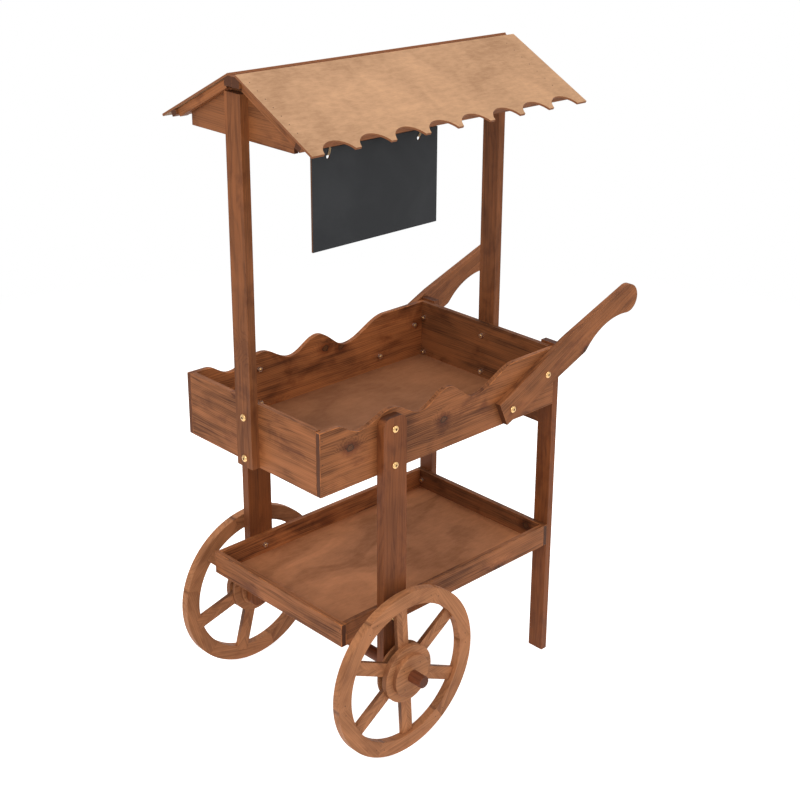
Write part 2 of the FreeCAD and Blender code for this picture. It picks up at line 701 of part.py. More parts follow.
def turned(label, profile, turns=360):
    """A turned piece about the local Z axis from a profile of radius and height."""
    body = new_body(label)
    sketch = new_sketch(body, label + "_profile", "XZ_Plane")
    draw_outline(sketch, profile)
    feature = body.newObject("PartDesign::Revolution", label + "_turn")
    feature.Profile = sketch
    feature.ReferenceAxis = (sketch, ["V_Axis"])
    feature.Angle = turns
    return body


def disc_profile(radius, bore, z0, z1, bevel_low, bevel_high):
    """Half section of a bored disc with chamfers at its outer edges."""
    outline = [(bore, z0), (radius - bevel_low, z0)]
    if bevel_low:
        outline.append((radius, z0 + bevel_low))
    if bevel_high:
        outline.append((radius, z1 - bevel_high))
    outline.append((radius - bevel_high, z1))
    outline.append((bore, z1))
    return outline


axle_r = S.axle_d / 2
boss_back = S.boss_back_t
plate_back = boss_back + S.plate_back_t
spoke_face = plate_back + S.spoke_t
plate_front = spoke_face + S.plate_front_t
boss_front = plate_front + S.boss_front_t
hub_bore = axle_r + S.hub_clear
rim_inner = S.wheel_radius - S.rim_w
step = 360 / S.spoke_count
axle_reach = hub_y + boss_front + S.axle_past
axle = turned("axle", [
    (axle_r - S.axle_chamfer, -axle_reach),
    (axle_r, S.axle_chamfer - axle_reach),
    (axle_r, axle_reach - S.axle_chamfer),
    (axle_r - S.axle_chamfer, axle_reach),
    (0.0, axle_reach),
    (0.0, -axle_reach),
])
keep(axle, x=axle_x, z=axle_z, rotation=NEAR)


def polar(radius, degrees):
    return radius * cosine(degrees), radius * sine(degrees)


def make_felloe():
    """One piece of a rim, with the seat of a spoke cut in its inner side."""
    body = new_body("felloe")
    sketch = new_sketch(body, "felloe_outline", "XY_Plane")
    draw_outline(sketch, [
        polar(S.wheel_radius, -step / 2),
        (polar(S.wheel_radius, 0), polar(S.wheel_radius, step / 2), S.wheel_radius),
        polar(rim_inner, step / 2),
        (polar(rim_inner, 0), polar(rim_inner, -step / 2), rim_inner),
    ])
    pad(body, sketch, "felloe_pad", "Sizes.rim_t")
    seat = new_sketch(body, "felloe_seat", "XY_Plane")
    draw_outline(seat, rectangle(rim_inner - S.rim_w, -S.spoke_w / 2,
                                 rim_inner + S.spoke_lap, S.spoke_w / 2))
    cut = body.newObject("PartDesign::Pocket", "felloe_seat_cut")
    cut.Profile = seat
    cut.setExpression("Length", "Sizes.spoke_t")
    cut.Reversed = True
    return body


def make_spoke():
    """A spoke whose inner end is a wedge that meets its neighbours."""
    body = new_body("spoke")
    sketch = new_sketch(body, "spoke_outline", "XY_Plane")
    tip = hub_bore + 1.0
    wide = S.spoke_w / 2 / tangent(step / 2)
    draw_outline(sketch, [
        (tip, tip * tangent(step / 2)),
        (tip, -tip * tangent(step / 2)),
        (wide, -S.spoke_w / 2),
        (rim_inner + S.spoke_lap, -S.spoke_w / 2),
        (rim_inner + S.spoke_lap, S.spoke_w / 2),
        (wide, S.spoke_w / 2),
    ])
    pad(body, sketch, "spoke_pad", "Sizes.spoke_t")
    return body


felloe = make_felloe()
spoke = make_spoke()
plate_out = turned("hub_plate", disc_profile(S.plate_r, hub_bore, spoke_face,
                                             plate_front, 0, S.hub_chamfer))
plate_in = turned("hub_back_plate", disc_profile(S.plate_r, hub_bore, boss_back,
                                                 plate_back, S.hub_chamfer, 0))
boss_out = turned("hub_boss", disc_profile(S.boss_r, hub_bore, plate_front,
                                           boss_front, 0, S.hub_chamfer))
boss_in = turned("hub_back_boss", disc_profile(S.boss_r, hub_bore, 0.0,
                                               boss_back, S.hub_chamfer, 0))
doc.recompute()


def around(turn):
    """Rotations of the spokes of a wheel that stands turned by some degrees."""
    return [Rotation(Vector(0, 0, 1), float((index + 0.5) * step + turn))
            for index in range(int(S.spoke_count))]


def pair(label, first, second):
    """Two turned pieces of a hub, one on each side of the spokes."""
    feature = doc.addObject("Part::Feature", label)
    feature.Label = label
    shapes = [first.Shape.copy(), second.Shape.copy()]
    feature.Shape = Part.makeCompound(shapes)
    return feature


for name, side, turn, angle in (("near", -1, NEAR, S.near_wheel_turn),
                                ("far", 1, FAR, S.far_wheel_turn)):
    seats = [at(0, 0, plate_back, rotation) for rotation in around(angle)]
    rim = group("wheel_rim_" + name, felloe, seats)
    arms = group("wheel_spokes_" + name, spoke, seats)
    plates = pair("hub_plates_" + name, plate_out, plate_in)
    bosses = pair("hub_bosses_" + name, boss_out, boss_in)
    for piece in (rim, arms, plates, bosses):
        keep(piece, x=axle_x, y=side * hub_y, z=axle_z, rotation=turn)

# ---------------------------------------------------------------- chalkboard

# bar of the staples, below the near eave batten: the board swings about it
bar = roof_side(-1, 0, eave_slant - S.staple_in,
                S.roof_t + S.eave_batten_h + S.staple_drop).Base
board_top = bar.z - S.chalk_below
board_bottom = board_top - S.chalk_h
hole_z = board_top - S.chalk_hole_drop
keep(plate("chalkboard_panel", "XZ_Plane",
           rounded_rectangle(S.chalk_x, board_bottom, S.chalk_x + S.chalk_w,
                             board_top, S.chalk_corner),
           "Sizes.chalk_t", [(x, hole_z, S.chalk_hole_d / 2) for x in hole_x]),
     y=bar.y + S.chalk_t / 2)


def staple(x):
    """Wire staple on local X and Z: a bar and two legs joined by round corners."""
    half = S.staple_w / 2
    turn = S.staple_d
    k = turn * (1 - math.sqrt(0.5))
    top = S.staple_drop + S.staple_leg
    runs = [Part.LineSegment(Vector(-half, 0, top), Vector(-half, 0, turn)),
            Part.Arc(Vector(-half, 0, turn), Vector(-half + k, 0, k),
                     Vector(-half + turn, 0, 0)),
            Part.LineSegment(Vector(-half + turn, 0, 0), Vector(half - turn, 0, 0)),
            Part.Arc(Vector(half - turn, 0, 0), Vector(half - k, 0, k),
                     Vector(half, 0, turn)),
            Part.LineSegment(Vector(half, 0, turn), Vector(half, 0, top))]
    path = Part.Wire([run.toShape() for run in runs])
    section = Part.Wire(Part.Circle(Vector(-half, 0, top), Vector(0, 0, 1),
                                    staple_r).toShape())
    wire = path.makePipeShell([section], True, False)
    wire.Placement = Placement(Vector(x, bar.y, bar.z),
                               Rotation(Vector(1, 0, 0), math.degrees(roof_pitch)))
    return wire


staples = doc.addObject("Part::Feature", "hanging_staples")
staples.Label = "hanging_staples"
staples.Shape = Part.makeCompound([staple(x) for x in staple_x])
keep(staples)


def twine_loop(x):
    """Loop of twine over a staple's bar and through a hole of the board, with a
    knot on its front strand and a loose end."""
    twine_r = S.twine_d / 2
    reach = S.chalk_t / 2 + S.twine_clear + twine_r
    crest = Vector(x + S.twine_lean, bar.y, bar.z + staple_r + S.twine_clear + twine_r)
    sag = Vector(x, bar.y, hole_z + S.chalk_hole_d / 2 - reach)
    along = (crest - sag).normalize()
    top = crest - along * reach
    low = sag + along * reach
    out = Vector(0, -reach, 0)
    front_low = low + out
    front_top = top + out
    back_low = low - out
    back_top = top - out
    path = Part.Wire([Part.LineSegment(front_low, front_top).toShape(),
                      Part.Arc(front_top, crest, back_top).toShape(),
                      Part.LineSegment(back_top, back_low).toShape(),
                      Part.Arc(back_low, sag, front_low).toShape()])
    aside = Vector(along.z, 0, -along.x)
    corners = [front_low + (aside * math.cos(angle) + Vector(0, 1, 0) * math.sin(angle)) * twine_r
               for angle in (math.radians(60 * index) for index in range(7))]
    section = Part.makePolygon(corners)
    loop = path.makePipeShell([section], True, False)
    middle = front_top - along * S.knot_drop
    middle.y = bar.y - S.chalk_t / 2 - S.twine_clear - S.knot_d / 2
    knot = Part.makeSphere(S.knot_d / 2, middle)
    fall = Vector(S.twine_lean, 0, -S.tail_length)
    tail = Part.makeCylinder(twine_r, fall.Length, middle, fall)
    return loop.fuse([knot, tail]).removeSplitter()


loops = doc.addObject("Part::Feature", "twine_loops")
loops.Label = "twine_loops"
loops.Shape = Part.makeCompound([twine_loop(x) for x in hole_x])
keep(loops)
print("chalkboard hinge: y %.4f z %.4f" % (bar.y, bar.z))

# ---------------------------------------------------------------- bolts and nuts


def make_bolt(label, grip):
    """Round head on local +Z, its underside at 0; grip is the thickness of the
    boards that it holds together."""
    shank = grip + S.nut_h + S.bolt_past_nut
    head_r = S.bolt_head_d / 2
    shank_r = S.bolt_d / 2
    return turned(label, [
        (shank_r, -shank), (shank_r, 0.0), (head_r, 0.0), (head_r, S.bolt_head_h * 0.4),
        (head_r * 0.65, S.bolt_head_h), (0.0, S.bolt_head_h), (0.0, -shank)])


def make_nut():
    """Hexagon nut on local Z, from 0 upwards."""
    body = new_body("nut")
    sketch = new_sketch(body, "nut_outline", "XY_Plane")
    corner = S.nut_af / 2 / cosine(30)
    corners = [polar(corner, 60 * index) for index in range(6)]
    draw_outline(sketch, corners)
    draw_circle(sketch, 0, 0, S.bolt_d / 2 + S.axle_clear)
    pad(body, sketch, "nut_pad", "Sizes.nut_h")
    return body


nut = make_nut()


def fasteners(label, grip, seats):
    """Bolts and nuts; each seat is the middle of a head's underside and the
    turn that points the head outwards."""
    bolt = make_bolt(label + "_master", grip)
    keep(group(label + "_bolts", bolt, [at(*seat, rotation) for seat, rotation in seats]))
    nut_places = []
    for seat, rotation in seats:
        inward = rotation.multVec(Vector(0, 0, -1))
        centre = Vector(*seat) + inward * (grip + S.nut_h)
        nut_places.append(Placement(centre, rotation))
    keep(group(label + "_nuts", nut, nut_places))


fasteners("post", S.post_t + S.board_t,
          [((-S.post_t, 0, z), FRONT) for z in post_bolt_z]
          + [((S.tub_length + S.post_t, 0, z), REAR) for z in post_bolt_z])
leg_face = side_y + S.leg_t
fasteners("front_leg", S.leg_t + S.board_t,
          [((S.leg_x, side * leg_face, z), turn)
           for side, turn in ((-1, NEAR), (1, FAR))
           for z in leg_bolt_z + [shelf_bolt_z]])
fasteners("rear_leg", S.rear_leg_t + S.board_t,
          [((S.tub_length + S.rear_leg_t, side * rear_leg_y, z), REAR)
           for side in (-1, 1) for z in rear_bolt_z + [shelf_bolt_z]])
handle_face = side_y + S.handle_t
fasteners("handle", S.handle_t + S.board_t,
          [((x, side * handle_face, z), turn)
           for side, turn in ((-1, NEAR), (1, FAR)) for x, z in handle_bolts])

# ---------------------------------------------------------------- check and write

doc.recompute()
for obj in doc.Objects:
    if "Invalid" in obj.State or "Error" in obj.State:
        raise RuntimeError("%s is not valid: %s" % (obj.Label, obj.State))

os.makedirs("parts", exist_ok=True)
for part in PARTS:
    shape = part.Shape
    if shape.isNull() or not shape.isValid() or not shape.Solids:
        raise RuntimeError("%s has no valid shape" % part.Label)
    shape.exportStep(os.path.join("parts", part.Label + ".step"))
    print("%-22s %2d solids %12.1f mm3" % (part.Label, len(shape.Solids), shape.Volume))
print(len(PARTS), "sub-parts")
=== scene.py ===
"""Finishes and small detail of a wooden flower cart stand, and the stage it is shown on."""

import math

import bmesh
import bpy
from mathutils import Matrix, Vector


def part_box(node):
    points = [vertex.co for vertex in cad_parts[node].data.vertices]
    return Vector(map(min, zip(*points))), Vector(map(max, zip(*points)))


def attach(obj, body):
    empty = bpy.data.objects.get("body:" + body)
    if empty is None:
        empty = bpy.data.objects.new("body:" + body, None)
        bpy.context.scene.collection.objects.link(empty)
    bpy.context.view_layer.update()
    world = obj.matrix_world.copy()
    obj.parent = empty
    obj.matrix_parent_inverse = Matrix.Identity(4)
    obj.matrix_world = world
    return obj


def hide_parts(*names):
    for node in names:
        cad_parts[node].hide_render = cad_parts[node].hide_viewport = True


bl_info = {
    "name": "Flower cart stand",
    "version": (1, 0, 0),
    "blender": (4, 5, 0),
    "location": "View3D > Sidebar > Flower cart",
    "description": "Stains the boards of a flower cart stand and adds its small detail",
    "category": "Object",
}

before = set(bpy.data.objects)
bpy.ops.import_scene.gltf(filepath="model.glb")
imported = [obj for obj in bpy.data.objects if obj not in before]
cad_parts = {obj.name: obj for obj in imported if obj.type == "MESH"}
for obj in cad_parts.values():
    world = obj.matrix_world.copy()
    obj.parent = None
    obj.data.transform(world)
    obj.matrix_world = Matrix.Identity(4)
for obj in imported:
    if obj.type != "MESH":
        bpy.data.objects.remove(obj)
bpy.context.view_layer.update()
MM = 0.001

# ------------------------------------------------------------------ settings


class CartWood(bpy.types.PropertyGroup):
    board: bpy.props.StringProperty(
        name="Tray boards", description="Middle tone of the stained tray boards", default="#8C5530")
    frame_wood: bpy.props.StringProperty(
        name="Posts", description="Middle tone of the stained posts and the rail",
        default="#824D2A")
    leg: bpy.props.StringProperty(
        name="Legs", description="Middle tone of the stained legs", default="#7A4422")
    roof: bpy.props.StringProperty(
        name="Roof", description="Middle tone of the roof's plywood", default="#AE8562")
    floor: bpy.props.StringProperty(
        name="Floors", description="Middle tone of the plywood floors", default="#986442")
    wheel: bpy.props.StringProperty(
        name="Wheels", description="Middle tone of the wheels", default="#A97049")
    edge_round: bpy.props.FloatProperty(
        name="Eased edges", description="Width of the sanded edges of the boards",
        default=0.9 * MM, unit="LENGTH")
    ring_gap: bpy.props.FloatProperty(
        name="Growth rings", description="Distance from one growth ring to the next",
        default=4.5 * MM, unit="LENGTH")


class CartDetail(bpy.types.PropertyGroup):
    nail: bpy.props.FloatProperty(
        name="Nail heads", description="Diameter of the sunk nail heads",
        default=2.4 * MM, unit="LENGTH")
    twine: bpy.props.FloatProperty(
        name="Twine", description="Diameter of the twine of the chalkboard",
        default=2.6 * MM, unit="LENGTH")
    hole: bpy.props.FloatProperty(
        name="Holes", description="Diameter of the chalkboard's two holes",
        default=9.0 * MM, unit="LENGTH")
    head: bpy.props.FloatProperty(
        name="Bolt heads", description="Diameter of the domed bolt heads",
        default=16.0 * MM, unit="LENGTH")
    socket: bpy.props.FloatProperty(
        name="Sockets", description="Width of the hexagon sockets across their flats",
        default=5.6 * MM, unit="LENGTH")


class CartStage(bpy.types.PropertyGroup):
    ground: bpy.props.StringProperty(
        name="Floor", description="Colour of the floor round the cart", default="#F4F3F1")
    lens: bpy.props.FloatProperty(
        name="Lens", description="Focal length of the camera", default=66.594, subtype="NONE")


# ----------------------------------------------------------------- materials


def linear(code):
    """Linear colour of an sRGB hex code."""
    parts = [int(code[i:i + 2], 16) / 255 for i in (1, 3, 5)]
    return [c / 12.92 if c <= 0.04045 else ((c + 0.055) / 1.055) ** 2.4 for c in parts] + [1]


def toned(code, factor):
    """The same hue, lighter or darker."""
    return "#" + "".join("%02X" % min(255, round(int(code[i:i + 2], 16) * factor))
                         for i in (1, 3, 5))


def deeper(code, factor):
    """Darker and warmer, as stain turns where it soaks in."""
    return "#" + "".join("%02X" % min(255, round(int(code[i:i + 2], 16) * factor ** power))
                         for i, power in ((1, 1.0), (3, 1.22), (5, 1.4)))


def fill(tree, node, inputs):
    """Links the inputs whose value is another node's output, and sets the others."""
    for key, value in inputs.items():
        if isinstance(value, bpy.types.NodeSocket):
            tree.links.new(value, node.inputs[key])
        else:
            node.inputs[key].default_value = value


def add(tree, kind, inputs=None, **settings):
    """Adds a node with its settings and its inputs, and gives its first output."""
    node = tree.nodes.new("ShaderNode" + kind)
    for name, value in settings.items():
        setattr(node, name, value)
    fill(tree, node, inputs or {})
    return node.outputs[0]


def numbers(tree, operation, *values):
    """Arithmetic on numbers."""
    return add(tree, "Math", dict(enumerate(values)), operation=operation)


def vectors(tree, operation, *values):
    """Arithmetic on places and directions."""
    return add(tree, "VectorMath", dict(enumerate(values)), operation=operation)


def length(tree, vector):
    return vectors(tree, "LENGTH", vector).node.outputs["Value"]


def turned(tree, vector, turn):
    return add(tree, "VectorRotate", {"Vector": vector, "Rotation": turn},
               rotation_type="EULER_XYZ")


def noise(tree, place, sizes, detail, distortion=0.0, roughness=0.5):
    """Noise whose forms have these sizes along the axes, in the place's own unit."""
    spread = vectors(tree, "MULTIPLY", place, tuple(1 / size for size in sizes))
    return add(tree, "TexNoise", {"Vector": spread, "Scale": 1.0, "Detail": detail,
                                  "Distortion": distortion, "Roughness": roughness})


def softened(tree, value, low=0.3, high=0.7):
    """0 below low, 1 above high, smooth between."""
    return add(tree, "MapRange", {"Value": value, "From Min": low, "From Max": high},
               interpolation_type="SMOOTHSTEP")


def ranged(tree, value, low, high):
    """From low at 0 to high at 1."""
    return add(tree, "MapRange", {"Value": value, "To Min": low, "To Max": high})


def waves(tree, value, pitch, low, high):
    """Softened waves that repeat once in every pitch."""
    turns = numbers(tree, "MULTIPLY", value, math.tau / pitch)
    return softened(tree, numbers(tree, "SINE", turns), low, high)


def weighted(tree, start, *parts):
    """Start plus every part times its weight."""
    for part, weight in parts:
        start = numbers(tree, "MULTIPLY_ADD", part, weight, start)
    return start


def mixed(tree, factor, first, second, blend="MIX"):
    """Mix of two colours, each a hex code or a link."""
    inputs = {0: factor}
    for key, value in ((6, first), (7, second)):
        inputs[key] = linear(value) if isinstance(value, str) else value
    node = add(tree, "Mix", inputs, data_type="RGBA", blend_type=blend).node
    return node.outputs[2]


def washed(tree, factor, colour, wash):
    """The colour under a thin wash of another, where the factor is 1."""
    return mixed(tree, factor, colour, mixed(tree, 1.0, colour, wash, "MULTIPLY"))


def three_tones(tree, value, dark, middle, light):
    """Dark at 0, middle at 0.5 and light at 1."""
    low = add(tree, "MapRange", {"Value": value, "From Min": 0.0, "From Max": 0.5})
    high = add(tree, "MapRange", {"Value": value, "From Min": 0.5, "From Max": 1.0})
    return mixed(tree, high, mixed(tree, low, dark, middle), light)


def bumped(tree, height, strength, depth):
    return add(tree, "Bump", {"Height": height, "Strength": strength, "Distance": depth})


def blank(name):
    """New material, with its tree and its shader."""
    made = bpy.data.materials.new(name)
    made.use_nodes = True
    tree = made.node_tree
    return made, tree, tree.nodes["Principled BSDF"]


def object_place(tree):
    return tree.nodes.new("ShaderNodeTexCoord").outputs["Object"]


def along_board(grain, face):
    """Gives a function that adds a board's own axes to a tree: X is the grain, Y the width
    and Z the thickness. They are the place in mm, the same place moved by chance from board
    to board, and the direction of the surface."""
    grain, face = Vector(grain).normalized(), Vector(face).normalized()
    turn = Matrix((grain, face.cross(grain), face)).to_euler("XYZ")
    farthest_shift = (3900.0, 770.0, 0.0)

    def axes(tree):
        coord = tree.nodes.new("ShaderNodeTexCoord")
        place = add(tree, "VectorMath", {0: coord.outputs["Object"], "Scale": 1 / MM},
                    operation="SCALE")
        place = turned(tree, place, turn)
        chance = tree.nodes.new("ShaderNodeObjectInfo").outputs["Random"]
        shift = add(tree, "CombineXYZ", {0: chance, 1: chance})
        shift = vectors(tree, "MULTIPLY", shift, farthest_shift)
        return (place, vectors(tree, "ADD", place, shift),
                turned(tree, coord.outputs["Normal"], turn))

    return axes


def round_wheel(hub, start, felloe):
    """The same for a wheel's six spokes, or for its six rim pieces, each in its own axes."""
    sixth = math.pi / 3
    first = start + (sixth / 2 if felloe else 0.0)
    upright = (math.pi / 2, 0.0, 0.0)
    shift_by_piece = (413.0, 61.0, 0.0)

    def axes(tree):
        coord = tree.nodes.new("ShaderNodeTexCoord")
        place = vectors(tree, "SUBTRACT", coord.outputs["Object"], hub)
        place = add(tree, "VectorMath", {0: place, "Scale": 1 / MM}, operation="SCALE")
        part = add(tree, "SeparateXYZ", {0: place}).node.outputs
        angle = numbers(tree, "ARCTAN2", part["Z"], part["X"])
        piece = numbers(tree, "DIVIDE", numbers(tree, "SUBTRACT", angle, first), sixth)
        piece = numbers(tree, "ROUND", piece)
        turn = weighted(tree, first, (piece, sixth))
        if felloe:
            turn = numbers(tree, "ADD", turn, math.pi / 2)
        place, face = (
            turned(tree, add(tree, "VectorRotate", {"Vector": vector, "Angle": turn},
                             rotation_type="Y_AXIS"), upright)
            for vector in (place, coord.outputs["Normal"]))
        shift = add(tree, "CombineXYZ", {0: piece, 1: piece})
        shift = vectors(tree, "MULTIPLY", shift, shift_by_piece)
        return place, vectors(tree, "ADD", place, shift), face

    return axes


def knot_distance(tree, true_place, place, share, spots):
    """Ragged distance in mm from the nearest knot. Chance puts a knot in this share of the
    cells, and each of the given spots has one."""
    cell = (190.0, 110.0, 1000.0)
    drawn_out = 0.7
    spread = vectors(tree, "MULTIPLY", place, tuple(1 / size for size in cell))
    cells = add(tree, "TexVoronoi", {"Vector": spread, "Scale": 1.0, "Randomness": 0.8},
                voronoi_dimensions="3D", feature="F1").node
    away = vectors(tree, "SUBTRACT", spread, cells.outputs["Position"])
    away = vectors(tree, "MULTIPLY", away, (cell[0] * drawn_out, cell[1], 0.0))
    ragged = add(tree, "TexNoise", {"Vector": place, "Scale": 0.12, "Detail": 2.0}).node
    ragged = vectors(tree, "MULTIPLY_ADD", ragged.outputs["Color"], (9.0, 9.0, 0.0),
                     (-4.5, -4.5, 0.0))
    reach = length(tree, vectors(tree, "ADD", away, ragged))
    # a cell without a knot is half a metre from it
    none = add(tree, "SeparateColor", {0: cells.outputs["Color"]})
    none = numbers(tree, "LESS_THAN", none, 1.0 - share)
    reach = weighted(tree, reach, (none, 500.0))
    for spot in spots:
        gap = vectors(tree, "SUBTRACT", true_place, (*spot, 0.0))
        gap = vectors(tree, "MULTIPLY", gap, (drawn_out, 1.0, 0.0))
        gap = length(tree, vectors(tree, "ADD", gap, ragged))
        reach = numbers(tree, "MINIMUM", gap, reach)
    return reach


def growth_rings(tree, true_place, place, reach, ring_gap):
    """Rings of a board cut beside the heart of the log: long arches that bend round knots."""
    heart = vectors(tree, "MULTIPLY", true_place, (0.0, 1.0, 1.0))
    heart = vectors(tree, "ADD", heart, (0.0, 37.0, 61.0))
    sway = ranged(tree, noise(tree, place, (420, 80, 80), 2.0), -26.0, 26.0)
    depth = numbers(tree, "ADD", length(tree, heart), sway)
    bend = softened(tree, reach, 34.0, 0.0)
    depth = weighted(tree, depth, (bend, 26.0))
    return waves(tree, depth, ring_gap / MM, 0.95, 0.1)


def pine(name, tone, axes, ring_gap, knots=0.0, contrast=1.0, end_dark=0.62, spots=()):
    """Sawn pine with a brushed water stain: long fibres, growth rings in long arches, stain
    blotches, dark knots at the given spots and by chance, and darker end grain."""
    made, tree, shader = blank(name)
    true_place, place, face = axes(tree)
    fibre = softened(tree, noise(tree, place, (140, 1.5, 1.5), 3.0))
    # the brush leaves streaks and patches
    streaks = softened(tree, noise(tree, place, (230, 11, 11), 4.0, 0.12))
    patches = softened(tree, noise(tree, place, (170, 90, 90), 3.0, 0.8), 0.32, 0.68)
    reach = knot_distance(tree, true_place, place, knots, spots)
    rings = growth_rings(tree, true_place, place, reach, ring_gap)
    tone_at = weighted(tree, 0.5 - 0.59 * contrast, (fibre, 0.3 * contrast),
                       (streaks, 0.34 * contrast), (patches, 0.34 * contrast),
                       (rings, 0.17 * contrast))
    colour = three_tones(tree, tone_at, deeper(tone, 0.6), tone, toned(tone, 1.2))

    # where the brush rested
    blotch = softened(tree, noise(tree, place, (105, 55, 55), 5.0, 0.5, 0.6), 0.5, 0.72)
    blotch = numbers(tree, "MULTIPLY", blotch, min(0.8, contrast * 0.7))
    colour = washed(tree, blotch, colour, "#A99280")

    # a knot has a halo, a dark rim, year rings and a core
    colour = washed(tree, softened(tree, reach, 24.0, 5.0), colour, "#B7A091")
    years = waves(tree, reach, 1.7, -1.0, 1.0)
    knot = mixed(tree, years, toned(tone, 0.5), toned(tone, 0.78))
    knot = mixed(tree, softened(tree, reach, 5.6, 4.4), toned(tone, 0.4), knot)
    colour = mixed(tree, softened(tree, reach, 8.0, 5.5), colour, knot)

    # the saw cut across the grain
    ends = numbers(tree, "ABSOLUTE", add(tree, "SeparateXYZ", {0: face}))
    pores = noise(tree, place, (9, 1.2, 1.2), 2.0)
    end = mixed(tree, pores, deeper(tone, end_dark * 0.8), deeper(tone, end_dark * 1.15))
    colour = mixed(tree, softened(tree, ends, 0.6, 0.95), colour, end)

    relief = weighted(tree, fibre, (rings, 0.4))
    fill(tree, shader, {"Base Color": colour, "Roughness": ranged(tree, tone_at, 0.66, 0.5),
                        "Normal": bumped(tree, relief, 0.35, 0.25 * MM),
                        "IOR": 1.5, "Specular IOR Level": 0.22})
    return made


def rubbed_edges(tone):
    """The eased edges of the boards, where handling has rubbed the stain thin: pale wood
    shows in patches about 20 mm long."""
    made, tree, shader = blank("Pine_rubbed_edges")
    rub = softened(tree, add(tree, "TexNoise", {"Vector": object_place(tree), "Scale": 45.0,
                                                "Detail": 4.0}), 0.38, 0.66)
    fill(tree, shader, {"Base Color": mixed(tree, rub, toned(tone, 0.9), toned(tone, 1.42)),
                        "Roughness": ranged(tree, rub, 0.55, 0.7),
                        "Specular IOR Level": 0.22})
    return made


def plywood(name, tone, axes, contrast, figure, dark, under, edges=None, veneer=1.2 * MM):
    """Rotary-cut poplar plywood with a wiped stain: the knife meets the rings in broad clouds
    and contour lines, and the edges show thin dark veneers."""
    made, tree, shader = blank(name)
    true_place, place, face = axes(tree)
    cloud = noise(tree, place, (210, 110, 110), 1.6, 0.9)
    lines = waves(tree, cloud, math.tau / 30.0, -1.0, 1.0)
    pores = softened(tree, noise(tree, place, (25, 1.1, 1.1), 3.0))
    # the cloth went across the grain, and the veneer drinks unevenly, in flecks
    wipes = softened(tree, noise(tree, place, (60, 190, 60), 4.0, 0.5))
    flecks = softened(tree, noise(tree, place, (22, 10, 10), 5.0, roughness=0.62))
    tone_at = weighted(tree, 0.5 - contrast * (0.27 * figure + 0.26),
                       (softened(tree, cloud), 0.44 * contrast * figure),
                       (lines, 0.1 * contrast * figure), (pores, 0.14 * contrast),
                       (wipes, 0.18 * contrast), (flecks, 0.2 * contrast))
    colour = three_tones(tree, tone_at, deeper(tone, dark), tone, toned(tone, 1.12))

    # the underside, darkened by a grey wash as painted shade, and the edges
    out = add(tree, "SeparateXYZ", {0: face}).node.outputs["Z"]
    colour = washed(tree, softened(tree, out, 0.2, -0.2), colour, toned("#FFFFFF", under))
    depth = add(tree, "SeparateXYZ", {0: true_place}).node.outputs["Z"]
    plies = waves(tree, depth, 2 * veneer / MM, -0.5, 0.5)
    edge = mixed(tree, plies, *(edges or (deeper(tone, 0.52), deeper(tone, 0.74))))
    side = softened(tree, numbers(tree, "ABSOLUTE", out), 0.75, 0.55)
    fill(tree, shader, {"Base Color": mixed(tree, side, colour, edge),
                        "Roughness": ranged(tree, tone_at, 0.68, 0.54),
                        "Normal": bumped(tree, pores, 0.25, 0.2 * MM),
                        "IOR": 1.5, "Specular IOR Level": 0.22})
    return made


def chalkboard_paint():
    """Hardboard with a rolled matt chalkboard paint: an even near-black with a faint grit
    and a breath of wiped chalk dust."""
    made, tree, shader = blank("Hardboard_matt_chalkboard_paint")
    place = object_place(tree)
    dust = add(tree, "TexNoise", {"Vector": place, "Scale": 9.0, "Detail": 4.0,
                                  "Distortion": 0.7})
    colour = mixed(tree, softened(tree, dust, 0.35, 0.75), "#2C2D2F", "#333436")
    # the cut edges show the brown board
    face = tree.nodes.new("ShaderNodeTexCoord").outputs["Normal"]
    flat = numbers(tree, "ABSOLUTE", add(tree, "SeparateXYZ", {0: face}).node.outputs["Y"])
    colour = mixed(tree, softened(tree, flat, 0.75, 0.55), colour, "#5E3E2C")
    # grit of about 0.6 mm
    grit = add(tree, "TexNoise", {"Vector": place, "Scale": 1700.0, "Detail": 2.0})
    fill(tree, shader, {"Base Color": colour, "Roughness": 0.78, "Specular IOR Level": 0.25,
                        "Normal": bumped(tree, grit, 0.25, 0.08 * MM)})
    return made


def plated(name, light, dark, rough):
    """Pressed steel with thin plating: glossy on the dome, dull in the pits of the pressing."""
    made, tree, shader = blank(name)
    # pits of about 1 mm
    pits = softened(tree, add(tree, "TexNoise", {"Vector": object_place(tree), "Scale": 900.0,
                                                 "Detail": 3.0}), 0.35, 0.65)
    fill(tree, shader, {"Base Color": mixed(tree, pits, dark, light), "Metallic": 1.0,
                        "Roughness": ranged(tree, pits, rough + 0.18, rough)})
    return made


def jute():
    """Two-ply jute twine: dull straw-coloured fibres."""
    made, tree, shader = blank("Jute_twine_two_ply")
    # hairs of about 0.3 mm
    hair = softened(tree, add(tree, "TexNoise", {"Vector": object_place(tree),
                                                 "Scale": 3200.0, "Detail": 3.0}))
    fill(tree, shader, {"Base Color": mixed(tree, hair, "#8A7152", "#C2A985"),
                        "Roughness": 0.9, "Normal": bumped(tree, hair, 0.6, 0.15 * MM)})
    return made


def sunk_nail():
    """Bright wire nail under stain: a small dull dark head."""
    made, tree, shader = blank("Wire_nail_stained_over")
    stain = softened(tree, add(tree, "TexNoise", {"Vector": object_place(tree),
                                                  "Scale": 1500.0}))
    fill(tree, shader, {"Base Color": mixed(tree, stain, "#2A1710", "#4A2E1E"),
                        "Roughness": 0.6, "Metallic": 0.4})
    return made


# ------------------------------------------------------------------- helpers


def finish_node(name, material):
    """Gives a CAD node its material."""
    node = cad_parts[name]
    if not node.material_slots:
        node.data.materials.append(material)
    for slot in node.material_slots:
        slot.material = material
    return node


